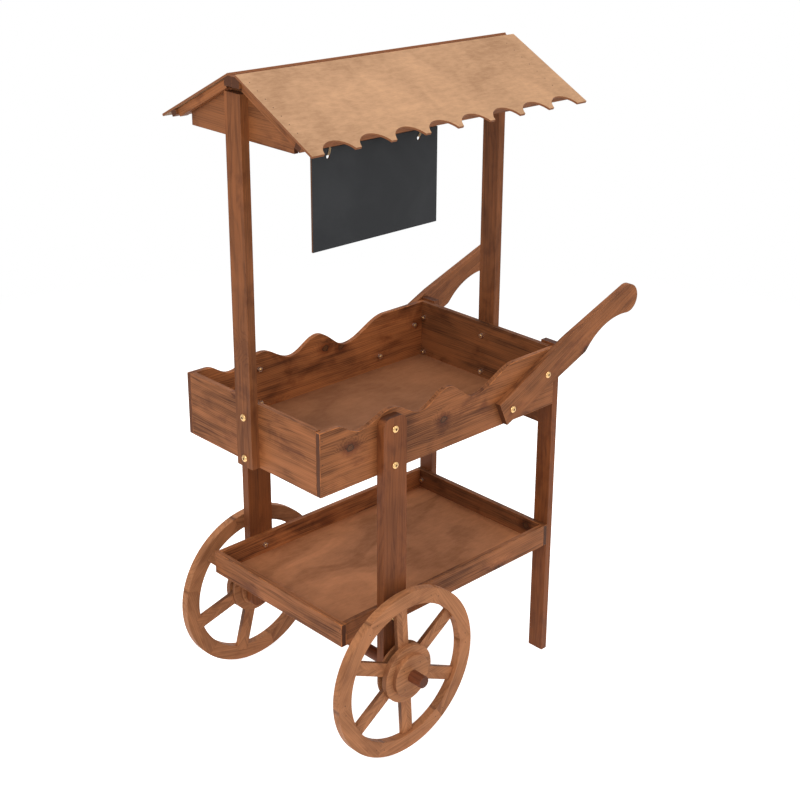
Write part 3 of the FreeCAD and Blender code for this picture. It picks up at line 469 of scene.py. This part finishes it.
def mesh_of(shape, name):
    """Turns a bmesh into a mesh, and frees it."""
    mesh = bpy.data.meshes.new(name)
    shape.to_mesh(mesh)
    shape.free()
    return mesh


def mesh_of_curve(curve):
    """Turns a curve into a mesh, and deletes it."""
    holder = bpy.data.objects.new(curve.name, curve)
    mesh = bpy.data.meshes.new_from_object(holder)
    bpy.data.objects.remove(holder)
    bpy.data.curves.remove(curve)
    return mesh


def ease_edges(piece, width, segments=2, rubbed=None):
    """Sands the sharp edges of a board, and keeps its broad faces level. The sanded edges
    may have a finish of their own."""
    weld = piece.modifiers.new("Joined faces", "WELD")
    weld.merge_threshold = 0.02 * MM
    whole = piece.modifiers.new("Whole faces", "DECIMATE")
    whole.decimate_type = "DISSOLVE"
    whole.angle_limit = math.radians(0.5)
    round_off = piece.modifiers.new("Eased edges", "BEVEL")
    round_off.width = width
    round_off.segments = segments
    round_off.limit_method = "ANGLE"
    round_off.angle_limit = math.radians(40)
    round_off.face_strength_mode = "FSTR_AFFECTED"
    if rubbed:
        piece.data.materials.append(rubbed)
        round_off.material = len(piece.data.materials) - 1
    level = piece.modifiers.new("Level faces", "WEIGHTED_NORMAL")
    level.mode = "FACE_AREA"
    level.use_face_influence = True


def sand(names, material, width, segments=2, rubbed=None):
    """Gives boards their material and eased edges."""
    for name in names:
        ease_edges(finish_node(name, material), width, segments, rubbed)


def new_piece(name, mesh, material, body, smooth=True):
    """Adds a mesh of the scene's own, with its finish, to a body."""
    piece = bpy.data.objects.new(name, mesh)
    bpy.context.collection.objects.link(piece)
    mesh.materials.append(material)
    for face in mesh.polygons:
        face.use_smooth = smooth
    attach(piece, body)
    return piece


def surface_point(name, start, direction):
    """First point of a board that a line meets, and its face direction."""
    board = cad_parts.get(name) or bpy.data.objects[name]
    hit, place, normal, _ = board.ray_cast(Vector(start), Vector(direction))
    if not hit:
        raise RuntimeError("no surface of %s at %s" % (name, tuple(start)))
    return place, normal


def nail_mesh(name, places, width):
    """Low domed heads with a dished middle, each on its point and face direction."""
    shape = bmesh.new()
    count = 10
    # radius and height as shares of the width
    profile = ((0.5, -0.25), (0.5, 0.02), (0.44, 0.07), (0.3, 0.04))
    for place, normal in places:
        turn = Matrix.Translation(place) @ normal.to_track_quat("Z", "Y").to_matrix().to_4x4()
        rows = [[shape.verts.new(turn @ (width * Vector((
            radius * math.cos(math.tau * i / count), radius * math.sin(math.tau * i / count),
            height)))) for i in range(count)] for radius, height in profile]
        tip = shape.verts.new(place)
        rows_to_faces(shape, rows)
        for i in range(count):
            shape.faces.new((rows[-1][i], rows[-1][(i + 1) % count], tip))
    return mesh_of(shape, name)


def wavy_board(name, low, high):
    """Side board whose top dips three times and then sweeps up to its rear corner."""
    # mm behind the front end, and below the top
    turns = ((0, 1.5), (44, 2), (104, 27), (190, 3), (271, 34), (349, 3), (431, 46),
             (556, 2), (685, 1))
    top = []
    for (x0, z0), (x1, z1) in zip(turns, turns[1:]):
        steps = max(4, round((x1 - x0) / 6))
        for i in range(steps):
            share = i / steps
            ease = (1 - math.cos(math.pi * share)) / 2
            top.append((low[0] + (x0 + (x1 - x0) * share) * MM,
                        high[2] - (z0 + (z1 - z0) * ease) * MM))
    outline = [(low[0], low[2]), (high[0], low[2]), (high[0], high[2] - turns[-1][1] * MM)]
    outline += reversed(top)
    shape = bmesh.new()
    near = [shape.verts.new((x, low[1], z)) for x, z in outline]
    far = [shape.verts.new((x, high[1], z)) for x, z in outline]
    shape.faces.new(near)
    shape.faces.new(reversed(far))
    for i in range(len(outline)):
        j = (i + 1) % len(outline)
        shape.faces.new((near[j], near[i], far[i], far[j]))
    bmesh.ops.recalc_face_normals(shape, faces=shape.faces)
    return mesh_of(shape, name)


def holed_board(name, low, high, holes, drop, radius):
    """Thin board with a round hole at each place, drop below its top edge."""
    curve = bpy.data.curves.new(name, "CURVE")
    curve.dimensions = "2D"
    curve.fill_mode = "BOTH"
    curve.extrude = (high[1] - low[1]) / 2
    outlines = [[(low[0], low[2]), (high[0], low[2]), (high[0], high[2]), (low[0], high[2])]]
    outlines += [[(x + radius * math.cos(math.tau * i / 28),
                   high[2] - drop + radius * math.sin(math.tau * i / 28)) for i in range(28)]
                 for x in holes]
    for outline in outlines:
        spline = curve.splines.new("POLY")
        spline.points.add(len(outline) - 1)
        spline.use_cyclic_u = True
        for point, (x, z) in zip(spline.points, outline):
            point.co = (x, z, 0.0, 1.0)
    mesh = mesh_of_curve(curve)
    mesh.transform(Matrix.Translation((0.0, (low[1] + high[1]) / 2, 0.0))
                   @ Matrix.Rotation(math.pi / 2, 4, "X"))
    return mesh


def rows_to_faces(shape, rows, material=0):
    """Skin between rings of points, each ring with as many points as the next."""
    for low, high in zip(rows, rows[1:]):
        for i in range(len(low)):
            j = (i + 1) % len(low)
            shape.faces.new((low[i], low[j], high[j], high[i])).material_index = material


def loose_parts(shape):
    """Points of each part of a mesh that hangs together."""
    todo = set(shape.verts)
    while todo:
        part, edge = [], [todo.pop()]
        while edge:
            point = edge.pop()
            part.append(point.co)
            for link in point.link_edges:
                other = link.other_vert(point)
                if other in todo:
                    todo.discard(other)
                    edge.append(other)
        yield part


def bolt_places(node):
    """Of each bolt of a node: where its shank ends, where its head starts, and the height
    of its head."""
    shape = bmesh.new()
    shape.from_mesh(node.data)
    bmesh.ops.remove_doubles(shape, verts=shape.verts, dist=0.02 * MM)
    found = []
    for part in loose_parts(shape):
        low = Vector([min(place[i] for place in part) for i in range(3)])
        high = Vector([max(place[i] for place in part) for i in range(3)])
        size, middle = high - low, (low + high) / 2
        # a bolt lies along X or Y and is longer than wide, and its head is its widest part
        axis = max(range(2), key=lambda i: size[i])
        along = Vector([float(i == axis) for i in range(3)])
        across = max(size[i] for i in range(3) if i != axis) / 2
        rim = [place[axis] for place in part
               if (place - middle - (place - middle)[axis] * along).length > across * 0.98]
        forward = sum(rim) / len(rim) > middle[axis]
        head, tail = middle.copy(), middle.copy()
        head[axis] = min(rim) if forward else max(rim)
        tail[axis] = low[axis] if forward else high[axis]
        top = high[axis] if forward else low[axis]
        found.append((tail, head, abs(top - head[axis])))
    shape.free()
    return found


def bolt_mesh(name, places, head_width, socket_width, shank=6.0 * MM):
    """Domed bolts with a hexagon socket and a chamfered end. The socket's inside is the mesh's
    second material, a dark finish that paints the shade in the recess."""
    shape = bmesh.new()
    count = 24
    turns = [math.tau * i / count for i in range(count)]
    wide, thin = head_width / 2, shank / 2
    hexagon = [socket_width / 2 / math.cos((a + math.pi / 6) % (math.pi / 3) - math.pi / 6)
               for a in turns]
    rim_share, well_share = 0.14, 0.3
    chamfer, mouth_width = 0.6 * MM, 0.35 * MM

    def dome(share):
        """Radius at this share of the quarter turn from the rim to the crown."""
        return wide * math.cos(share * math.pi / 2) ** 0.72

    for tail, head, height in places:
        way = (head - tail).normalized()
        grip = (head - tail).length
        turn = Matrix.Translation(head) @ way.to_track_quat("Z", "Y").to_matrix().to_4x4()

        def ring(radii, depth):
            return [shape.verts.new(turn @ Vector((r * math.cos(a), r * math.sin(a), depth)))
                    for r, a in zip(radii, turns)]

        outline = [(thin - chamfer, -grip), (thin, -grip + 0.8 * MM), (thin, 0.0), (wide, 0.0),
                   (wide, height * rim_share)]
        outline += [(dome(share), height * (rim_share + (1 - rim_share)
                                            * math.sin(share * math.pi / 2)))
                    for share in (0.25, 0.45, 0.62, 0.78, 0.9)]
        rows = [ring([radius] * count, depth) for radius, depth in outline]
        rows.append(ring([max(r + mouth_width, dome(0.96)) for r in hexagon], height))
        rows_to_faces(shape, rows)
        well = [rows[-1], ring(hexagon, height - 0.4 * MM), ring(hexagon, height * well_share)]
        rows_to_faces(shape, well, 1)
        tip = shape.verts.new(turn @ Vector((0, 0, height * well_share - 0.7 * MM)))
        for i in range(count):
            shape.faces.new((well[-1][i], well[-1][(i + 1) % count], tip)).material_index = 1
        shape.faces.new(reversed(rows[0]))
    return mesh_of(shape, name)


def smooth_path(name, points):
    """Points of the smooth line that a cord's control points give."""
    curve = bpy.data.curves.new(name, "CURVE")
    curve.dimensions = "3D"
    curve.resolution_u = 10
    spline = curve.splines.new("NURBS")
    spline.points.add(len(points) - 1)
    for point, place in zip(spline.points, points):
        point.co = (*place, 1.0)
    spline.order_u = 3
    spline.use_endpoint_u = True
    line = mesh_of_curve(curve)
    path = [point.co.copy() for point in line.vertices]
    bpy.data.meshes.remove(line)
    return path


def sweep(shape, path, radius, offset=0.0, pitch=1.0, start=0.0, sides=7):
    """A round strand along a path, or one ply of a twist round it."""
    side = Vector((0.3, 0.5, 0.81))
    gone, rows = 0.0, []
    for i, place in enumerate(path):
        ahead = (path[min(i + 1, len(path) - 1)] - path[max(i - 1, 0)]).normalized()
        side = (side - ahead * side.dot(ahead)).normalized()
        up = ahead.cross(side)
        if i:
            gone += (place - path[i - 1]).length
        angle = start + math.tau * gone / pitch
        middle = place + offset * (math.cos(angle) * side + math.sin(angle) * up)
        rows.append([shape.verts.new(middle + radius * (
            math.cos(math.tau * k / sides) * side + math.sin(math.tau * k / sides) * up))
            for k in range(sides)])
    rows_to_faces(shape, rows)
    shape.faces.new(reversed(rows[0]))
    shape.faces.new(rows[-1])


def tie_mesh(name, hook, hole, faces, heights, width):
    """Twine that goes twice, side by side, over the wire at hook and through the hole. faces
    are the depths in front of and behind the board, and heights those over the wire and in
    the hole."""
    (front, back), (over, under) = faces, heights
    half = width * 0.52
    knot = Vector(((hook + hole) / 2, back + 0.8 * MM, (over + under) / 2))
    points = [knot]
    for side in (-half, half):
        points += [(hook + side, back, over), (hook + side, front, over),
                   (hole + side, front, under), (hole + side, back, under)]
    points.append(knot + Vector((1.0, 0.4, -1.4)) * MM)
    path = smooth_path(name, points)
    shape = bmesh.new()
    # two plies that turn once in 5 mm
    for start in (0.0, math.pi):
        sweep(shape, path, width * 0.29, width * 0.25, 5.0 * MM, start)
    # an overhand knot
    loop = [knot + 0.58 * MM * Vector((math.sin(t) + 2 * math.sin(2 * t),
                                       0.8 + math.sin(3 * t),
                                       math.cos(t) - 2 * math.cos(2 * t)))
            for t in (math.tau * i / 40 for i in range(41))]
    sweep(shape, loop, width * 0.36, sides=9)
    # two short frayed ends, each of five yarns that spread
    for lean, drop in ((-1.7, 4.6), (1.5, 5.4)):
        for yarn in range(5):
            spread = (yarn - 2) * 0.45
            waver = 0.3 * ((yarn * 7) % 3 - 1)
            end = [knot + MM * Vector((t * lean + spread * t * t,
                                       0.5 + 0.5 * t + waver * t * t, -0.6 - drop * t))
                   for t in (0.0, 0.35, 0.7, 1.0)]
            sweep(shape, end, width * 0.17, sides=5)
    return mesh_of(shape, name)


# ----------------------------------------------------------------- operators

X, Y, Z = (1.0, 0.0, 0.0), (0.0, 1.0, 0.0), (0.0, 0.0, 1.0)
HANDLE_RISE = math.radians(24.3)
ROOF_PITCH = math.atan2(113, 216)   # mm down for mm out
SIDES = (("near", -1.0), ("far", 1.0))
# angle of each wheel's first spoke
FIRST_SPOKE = {"near": math.radians(3.5), "far": math.radians(-15.0)}
# name, place, width in metres and power in watts
LAMPS = (("Key", (-3.2, -1.6, 3.0), 2.4, 78.0), ("Fill", (1.4, -3.4, 2.0), 2.6, 22.0),
         ("Top", (0.2, 0.2, 4.2), 3.0, 52.0))
LAMP_AIM = (0.0, 0.0, 0.75)


class FLOWERCART_OT_tray(bpy.types.Operator):
    """Stains and sands the boards and floors of the tray and the shelf"""
    bl_idname = "flowercart.tray"
    bl_label = "Tray and shelf"

    def execute(self, context):
        wood = context.scene.cart_wood
        ring_gap, width = wood.ring_gap, wood.edge_round
        rubbed = rubbed_edges(wood.board)
        # knots that stand out, in mm along the board and below the frame's middle
        known = {"near": [(-388.6, -732.5)], "far": [(-96.5, -747.5), (-51.4, -738.0)]}
        for side, tone in (("near", wood.board), ("far", toned(wood.board, 1.12))):
            long_way = pine("Pine_walnut_stain_long_boards_" + side, tone, along_board(X, Y),
                            ring_gap, knots=0.2, contrast=1.3, spots=known[side])
            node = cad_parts["tub_side_" + side]
            name = "wavy_board_" + side
            board = new_piece(name, wavy_board(name, *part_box(node.name)), long_way, "cart",
                              smooth=False)
            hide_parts(node.name)
            ease_edges(board, width, rubbed=rubbed)
            sand(["shelf_side_" + side], long_way, width, rubbed=rubbed)
        for end, tone, share in (("front", wood.board, 0.2),
                                 ("rear", toned(wood.board, 0.85), 0.3)):
            cross_way = pine("Pine_walnut_stain_cross_boards_" + end, tone,
                             along_board(Y, X), ring_gap, knots=share, contrast=1.3)
            sand(["tub_end_" + end, "shelf_end_" + end], cross_way, width, rubbed=rubbed)
        # the shelf floor's tone is 1.22 times the tub floor's: painted light against the shade of
        # the tray above it
        for name, tone, figure in (("tub_floor", wood.floor, 0.8),
                                   ("shelf_floor", toned(wood.floor, 1.22), 1.2)):
            # under=0.8 darkens each floor's underside as painted shade
            finish_node(name, plywood("Poplar_plywood_walnut_stain_" + name, tone,
                                      along_board(X, Z), contrast=1.05, figure=figure,
                                      dark=0.84, under=0.8))
        return {"FINISHED"}


class FLOWERCART_OT_frame(bpy.types.Operator):
    """Stains and sands the posts, legs, cross rail and handles"""
    bl_idname = "flowercart.frame"
    bl_label = "Posts, legs and handles"

    def execute(self, context):
        wood = context.scene.cart_wood
        ring_gap, width = wood.ring_gap, wood.edge_round
        rubbed = bpy.data.materials["Pine_rubbed_edges"]
        post = pine("Pine_mahogany_stain_posts", wood.frame_wood, along_board(Z, Y), ring_gap,
                    knots=0.12, contrast=0.8)
        leg = pine("Pine_mahogany_stain_legs", wood.leg, along_board(Z, Y), ring_gap,
                   contrast=0.8)
        rail = pine("Pine_mahogany_stain_rail", wood.frame_wood, along_board(Y, X), ring_gap,
                    contrast=0.8)
        rise = (math.cos(HANDLE_RISE), 0.0, math.sin(HANDLE_RISE))
        handle = pine("Pine_walnut_stain_handles", wood.board, along_board(rise, Y), ring_gap,
                      knots=0.1)
        sand(["post_front", "post_rear"], post, width * 1.2, rubbed=rubbed)
        sand(["front_leg_near", "front_leg_far", "rear_leg_near", "rear_leg_far"], leg,
             width * 1.2, rubbed=rubbed)
        sand(["cross_rail"], rail, width)
        sand(["handle_near", "handle_far"], handle, width * 1.6, 3, rubbed)
        return {"FINISHED"}


class FLOWERCART_OT_roof(bpy.types.Operator):
    """Stains the roof panels, battens, rafters and gussets"""
    bl_idname = "flowercart.roof"
    bl_label = "Roof"

    def execute(self, context):
        wood = context.scene.cart_wood
        ring_gap, width = wood.ring_gap, wood.edge_round * 0.6
        for side, way in SIDES:
            slope = (0.0, way * math.cos(ROOF_PITCH), -math.sin(ROOF_PITCH))
            out = (0.0, way * math.sin(ROOF_PITCH), math.cos(ROOF_PITCH))
            # under=0.85 darkens the panel's underside as painted shade
            panel = plywood("Poplar_plywood_light_stain_" + side, wood.roof,
                            along_board(X, out), contrast=1.5, figure=0.45, dark=0.86,
                            under=0.85, edges=("#70422A", "#9A6440"))
            sand(["roof_panel_" + side], panel, wood.edge_round * 0.5)
            rafters = pine("Pine_walnut_stain_rafters_" + side, wood.board,
                           along_board(slope, X), ring_gap)
            sand(["rafter_front_" + side, "rafter_rear_" + side], rafters, width)
            battens = pine("Pine_walnut_stain_battens_" + side, toned(wood.board, 0.94),
                           along_board(X, out), ring_gap)
            sand(["eave_batten_" + side, "ridge_batten_" + side], battens, width)
        gussets = pine("Pine_walnut_stain_gussets", toned(wood.board, 0.93),
                       along_board(Y, X), ring_gap, knots=0.2)
        sand(["gusset_front", "gusset_rear"], gussets, width)
        return {"FINISHED"}


class FLOWERCART_OT_wheels(bpy.types.Operator):
    """Stains the rims, spokes, hubs and the axle"""
    bl_idname = "flowercart.wheels"
    bl_label = "Wheels"

    def execute(self, context):
        wood = context.scene.cart_wood
        ring_gap = wood.ring_gap
        for side, start in FIRST_SPOKE.items():
            low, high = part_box("wheel_rim_" + side)
            hub = tuple((Vector(low) + Vector(high)) / 2)
            rim = pine("Pine_walnut_stain_rim_" + side, wood.wheel,
                       round_wheel(hub, start, True), ring_gap, knots=0.1, contrast=0.62,
                       end_dark=0.85)
            spokes = pine("Pine_walnut_stain_spokes_" + side, wood.wheel,
                          round_wheel(hub, start, False), ring_gap, contrast=0.75)
            plates = pine("Pine_walnut_stain_hubs_" + side, toned(wood.wheel, 0.97),
                          along_board(X, Y), ring_gap, contrast=0.7, end_dark=0.8)
            sand(["wheel_rim_" + side], rim, wood.edge_round)
            sand(["wheel_spokes_" + side], spokes, wood.edge_round)
            finish_node("hub_plates_" + side, plates)
            finish_node("hub_bosses_" + side, plates)
        finish_node("axle", pine("Beech_dowel_mahogany_stain", "#6E3B22", along_board(Y, X),
                                 ring_gap, contrast=0.7, end_dark=0.8))
        return {"FINISHED"}


class FLOWERCART_OT_chalkboard(bpy.types.Operator):
    """Paints the chalkboard and ties it up with twine"""
    bl_idname = "flowercart.chalkboard"
    bl_label = "Chalkboard"

    def execute(self, context):
        detail = context.scene.cart_detail
        low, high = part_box("chalkboard_panel")
        hole_drop = 16.0 * MM
        holes = (low[0] + 39.5 * MM, high[0] - 50.5 * MM)
        board = new_piece("painted_board", holed_board("painted_board", low, high, holes,
                                                       hole_drop, detail.hole / 2),
                          chalkboard_paint(), "chalkboard", smooth=False)
        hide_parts("chalkboard_panel")
        ease_edges(board, 0.4 * MM)
        wire_low, wire_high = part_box("hanging_staples")
        # the twine lies on the board's faces, on the wire and on the upper side of the hole
        inset = 1.3 * MM
        faces = (low[1] - inset, high[1] + inset)
        heights = (wire_low[2] + 2.5 * MM, high[2] - hole_drop + detail.hole / 2 - inset)
        material = jute()
        for name, hole, hook in (("twine_front", holes[0], wire_low[0] + 6.0 * MM),
                                 ("twine_rear", holes[1], wire_high[0] - 6.0 * MM)):
            piece = new_piece(name, tie_mesh(name, hook, hole + 0.8 * MM, faces, heights,
                                             detail.twine), material, "chalkboard")
            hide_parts("twine_loops")
        return {"FINISHED"}


class FLOWERCART_OT_fastenings(bpy.types.Operator):
    """Plates the bolts, nuts and staples and adds the nail heads"""
    bl_idname = "flowercart.fastenings"
    bl_label = "Fastenings"

    def execute(self, context):
        detail = context.scene.cart_detail
        bolts = plated("Steel_brass_plated_bolts", "#F0CB92", "#B98A55", 0.2)
        # the sockets get a dark brown finish as painted shade inside the recess
        painted_socket_shade = plated("Steel_brass_plated_sockets", "#4A3520", "#24180F", 0.5)
        nuts = plated("Steel_zinc_plated_nuts", "#F6F6F7", "#CFCECC", 0.22)
        for name in ("post", "front_leg", "rear_leg", "handle"):
            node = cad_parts[name + "_bolts"]
            piece = new_piece(name + "_socket_bolts", bolt_mesh(
                name, bolt_places(node), detail.head, detail.socket), bolts, "cart")
            piece.data.materials.append(painted_socket_shade)
            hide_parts(node.name)
            finish_node(name + "_nuts", nuts)
        finish_node("hanging_staples", plated("Steel_zinc_plated_wire", "#B9BABC", "#77757A",
                                              0.3))
        nails = sunk_nail()
        context.view_layer.update()
        places = self.tray_nails() + self.shelf_nails() + self.roof_nails()
        new_piece("board_nails", nail_mesh("board_nails", places, detail.nail), nails, "cart")
        for side, way in SIDES:
            name = "wheel_nails_" + side
            mesh = nail_mesh(name, self.wheel_nails(side, -way), detail.nail)
            new_piece(name, mesh, nails, "wheel_" + side)
        return {"FINISHED"}

    def tray_nails(self):
        """Three in each end of both sides, in the middle of the end board's edge."""
        places = []
        for end, edge, way in (("front", 0, 1.0), ("rear", 1, -1.0)):
            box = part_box("tub_end_" + end)
            x = box[edge][0] + way * 6.0 * MM
            for share in (0.14, 0.5, 0.86):
                z = box[0][2] + (box[1][2] - box[0][2]) * share
                places += [surface_point("wavy_board_" + side, (x, away, z),
                                         (0.0, -away, 0.0)) for side, away in SIDES]
        return places

    def shelf_nails(self):
        """Two in each end of both end boards, into the side boards."""
        places = []
        for end, way in (("front", 1.0), ("rear", -1.0)):
            low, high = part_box("shelf_end_" + end)
            for y in (low[1] + 6.0 * MM, high[1] - 6.0 * MM):
                for share in (0.3, 0.72):
                    start = (-2.0 * way, y, low[2] + (high[2] - low[2]) * share)
                    places.append(surface_point("shelf_end_" + end, start, (way, 0.0, 0.0)))
        return places

    def roof_nails(self):
        """A row down each end of the roof, into the rafters."""
        places = []
        for side, _ in SIDES:
            for end in ("front", "rear"):
                low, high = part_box("rafter_%s_%s" % (end, side))
                for i in range(7):
                    start = ((low[0] + high[0]) / 2,
                             low[1] + (high[1] - low[1]) * (0.08 + 0.14 * i), 2.0)
                    places.append(surface_point("roof_panel_" + side, start,
                                                (0.0, 0.0, -1.0)))
        return places

    def wheel_nails(self, side, inward):
        """Two beside each joint of the rim, and four on the outer boss."""
        low, high = (Vector(corner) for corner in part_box("wheel_rim_" + side))
        hub, rim_circle = (low + high) / 2, (high.x - low.x) / 2 - 17.0 * MM
        boss_circle = 33.0 * MM
        spots = [("wheel_rim_", rim_circle, 60 * i + lean) for i in range(6)
                 for lean in (-4.0, 4.0)]
        spots += [("hub_bosses_", boss_circle, 45 + 90 * i) for i in range(4)]
        places = []
        for board, radius, degrees in spots:
            angle = FIRST_SPOKE[side] + math.radians(degrees)
            start = (hub.x + radius * math.cos(angle), -inward,
                     hub.z + radius * math.sin(angle))
            places.append(surface_point(board + side, start, (0.0, inward, 0.0)))
        return places


class FLOWERCART_OT_stage(bpy.types.Operator):
    """Sets the pale floor, the soft lamps, the white background and the camera"""
    bl_idname = "flowercart.stage"
    bl_label = "Stage"

    def execute(self, context):
        stage = context.scene.cart_stage
        self.lay_floor(stage.ground)
        self.light_world(context.scene)
        for name, place, size, power in LAMPS:
            lamp = bpy.data.lights.new(name, "AREA")
            lamp.shape = "DISK"
            lamp.size = size
            lamp.energy = power
            holder = bpy.data.objects.new(name, lamp)
            holder.location = place
            holder.rotation_mode = "QUATERNION"
            holder.rotation_quaternion = (Vector(LAMP_AIM) - Vector(place)).to_track_quat(
                "-Z", "Y")
            context.collection.objects.link(holder)
        self.place_camera(context, stage.lens)
        context.scene.view_settings.view_transform = "Standard"
        return {"FINISHED"}

    def lay_floor(self, ground):
        """Matt paper that fades to the white background away from the cart. Its shading is
        lifted where it is looked at, and not where it lights the cart."""
        shape = bmesh.new()
        bmesh.ops.create_grid(shape, x_segments=2, y_segments=2, size=30.0)
        mesh = mesh_of(shape, "Floor")
        floor = bpy.data.objects.new("Floor", mesh)
        bpy.context.collection.objects.link(floor)
        made, tree, shader = blank("Paper_matt_white")
        fill(tree, shader, {"Base Color": linear(ground), "Roughness": 0.9,
                            "Specular IOR Level": 0.1})
        seen = self.looked_at(tree)
        away = softened(tree, length(tree, object_place(tree)), 1.2, 3.0)
        fade = numbers(tree, "MULTIPLY", away, seen)
        lift = numbers(tree, "MULTIPLY", seen, 0.85)
        white, lift = (add(tree, "Emission", {"Color": (1, 1, 1, 1), "Strength": strength})
                       for strength in (1.0, lift))
        paper = add(tree, "AddShader", {0: shader.outputs[0], 1: lift})
        both = add(tree, "MixShader", {0: fade, 1: paper, 2: white})
        tree.links.new(both, tree.nodes["Material Output"].inputs["Surface"])
        mesh.materials.append(made)

    def light_world(self, scene):
        """White where it is looked at, and half as bright where it lights the cart."""
        world = bpy.data.worlds.new("Studio")
        world.use_nodes = True
        scene.world = world
        tree = world.node_tree
        through = tree.nodes.new("ShaderNodeLightPath").outputs["Is Transmission Ray"]
        seen = numbers(tree, "MAXIMUM", self.looked_at(tree), through)
        fill(tree, tree.nodes["Background"], {"Color": (1, 1, 1, 1),
                                              "Strength": ranged(tree, seen, 0.5, 1.0)})

    def looked_at(self, tree):
        """1 for rays from the camera or from a shiny surface."""
        rays = tree.nodes.new("ShaderNodeLightPath").outputs
        return numbers(tree, "MAXIMUM", rays["Is Camera Ray"], rays["Is Glossy Ray"])

    def place_camera(self, context, lens):
        """The camera as solved from the cart's edges and wheels."""
        camera = bpy.data.cameras.new("Camera")
        camera.lens = lens
        camera.sensor_width = 36.0
        camera.shift_x, camera.shift_y = -0.1125, -0.075
        camera.clip_end = 100.0
        place = (-2.1366, -2.21012, 1.9774)
        yaw, pitch, roll = (math.radians(a) for a in (42.9897, 20.9088, 1.6268))
        ahead = Vector((math.cos(pitch) * math.cos(yaw), math.cos(pitch) * math.sin(yaw),
                        -math.sin(pitch)))
        level = Vector((math.sin(yaw), -math.cos(yaw), 0.0))
        upright = level.cross(ahead)
        right = math.cos(roll) * level + math.sin(roll) * upright
        up = math.cos(roll) * upright - math.sin(roll) * level
        holder = bpy.data.objects.new("Camera", camera)
        holder.matrix_world = Matrix.Translation(place) @ Matrix(
            (right, up, -ahead)).transposed().to_4x4()
        context.collection.objects.link(holder)
        context.scene.camera = holder


class FLOWERCART_PT_panel(bpy.types.Panel):
    """Sizes, colours and pieces of the flower cart stand"""
    bl_idname = "FLOWERCART_PT_panel"
    bl_label = "Flower cart stand"
    bl_space_type = "VIEW_3D"
    bl_region_type = "UI"
    bl_category = "Flower cart"

    def draw(self, context):
        for group in (context.scene.cart_wood, context.scene.cart_detail,
                      context.scene.cart_stage):
            for name in group.bl_rna.properties.keys():
                if name not in ("rna_type", "name"):
                    self.layout.prop(group, name)
        for operator in OPERATORS:
            self.layout.operator(operator.bl_idname)


OPERATORS = (FLOWERCART_OT_tray, FLOWERCART_OT_frame, FLOWERCART_OT_roof,
             FLOWERCART_OT_wheels, FLOWERCART_OT_chalkboard, FLOWERCART_OT_fastenings,
             FLOWERCART_OT_stage)
SETTINGS = {"cart_wood": CartWood, "cart_detail": CartDetail, "cart_stage": CartStage}


def register():
    for made in (*SETTINGS.values(), *OPERATORS, FLOWERCART_PT_panel):
        bpy.utils.register_class(made)
    for name, group in SETTINGS.items():
        setattr(bpy.types.Scene, name, bpy.props.PointerProperty(type=group))


def unregister():
    for name in SETTINGS:
        delattr(bpy.types.Scene, name)
    for made in (FLOWERCART_PT_panel, *reversed(OPERATORS), *SETTINGS.values()):
        bpy.utils.unregister_class(made)


def main():
    register()
    for name in ("tray", "frame", "roof", "wheels", "chalkboard", "fastenings", "stage"):
        getattr(bpy.ops.flowercart, name)()
    bpy.context.view_layer.update()


if __name__ == "__main__":
    main()
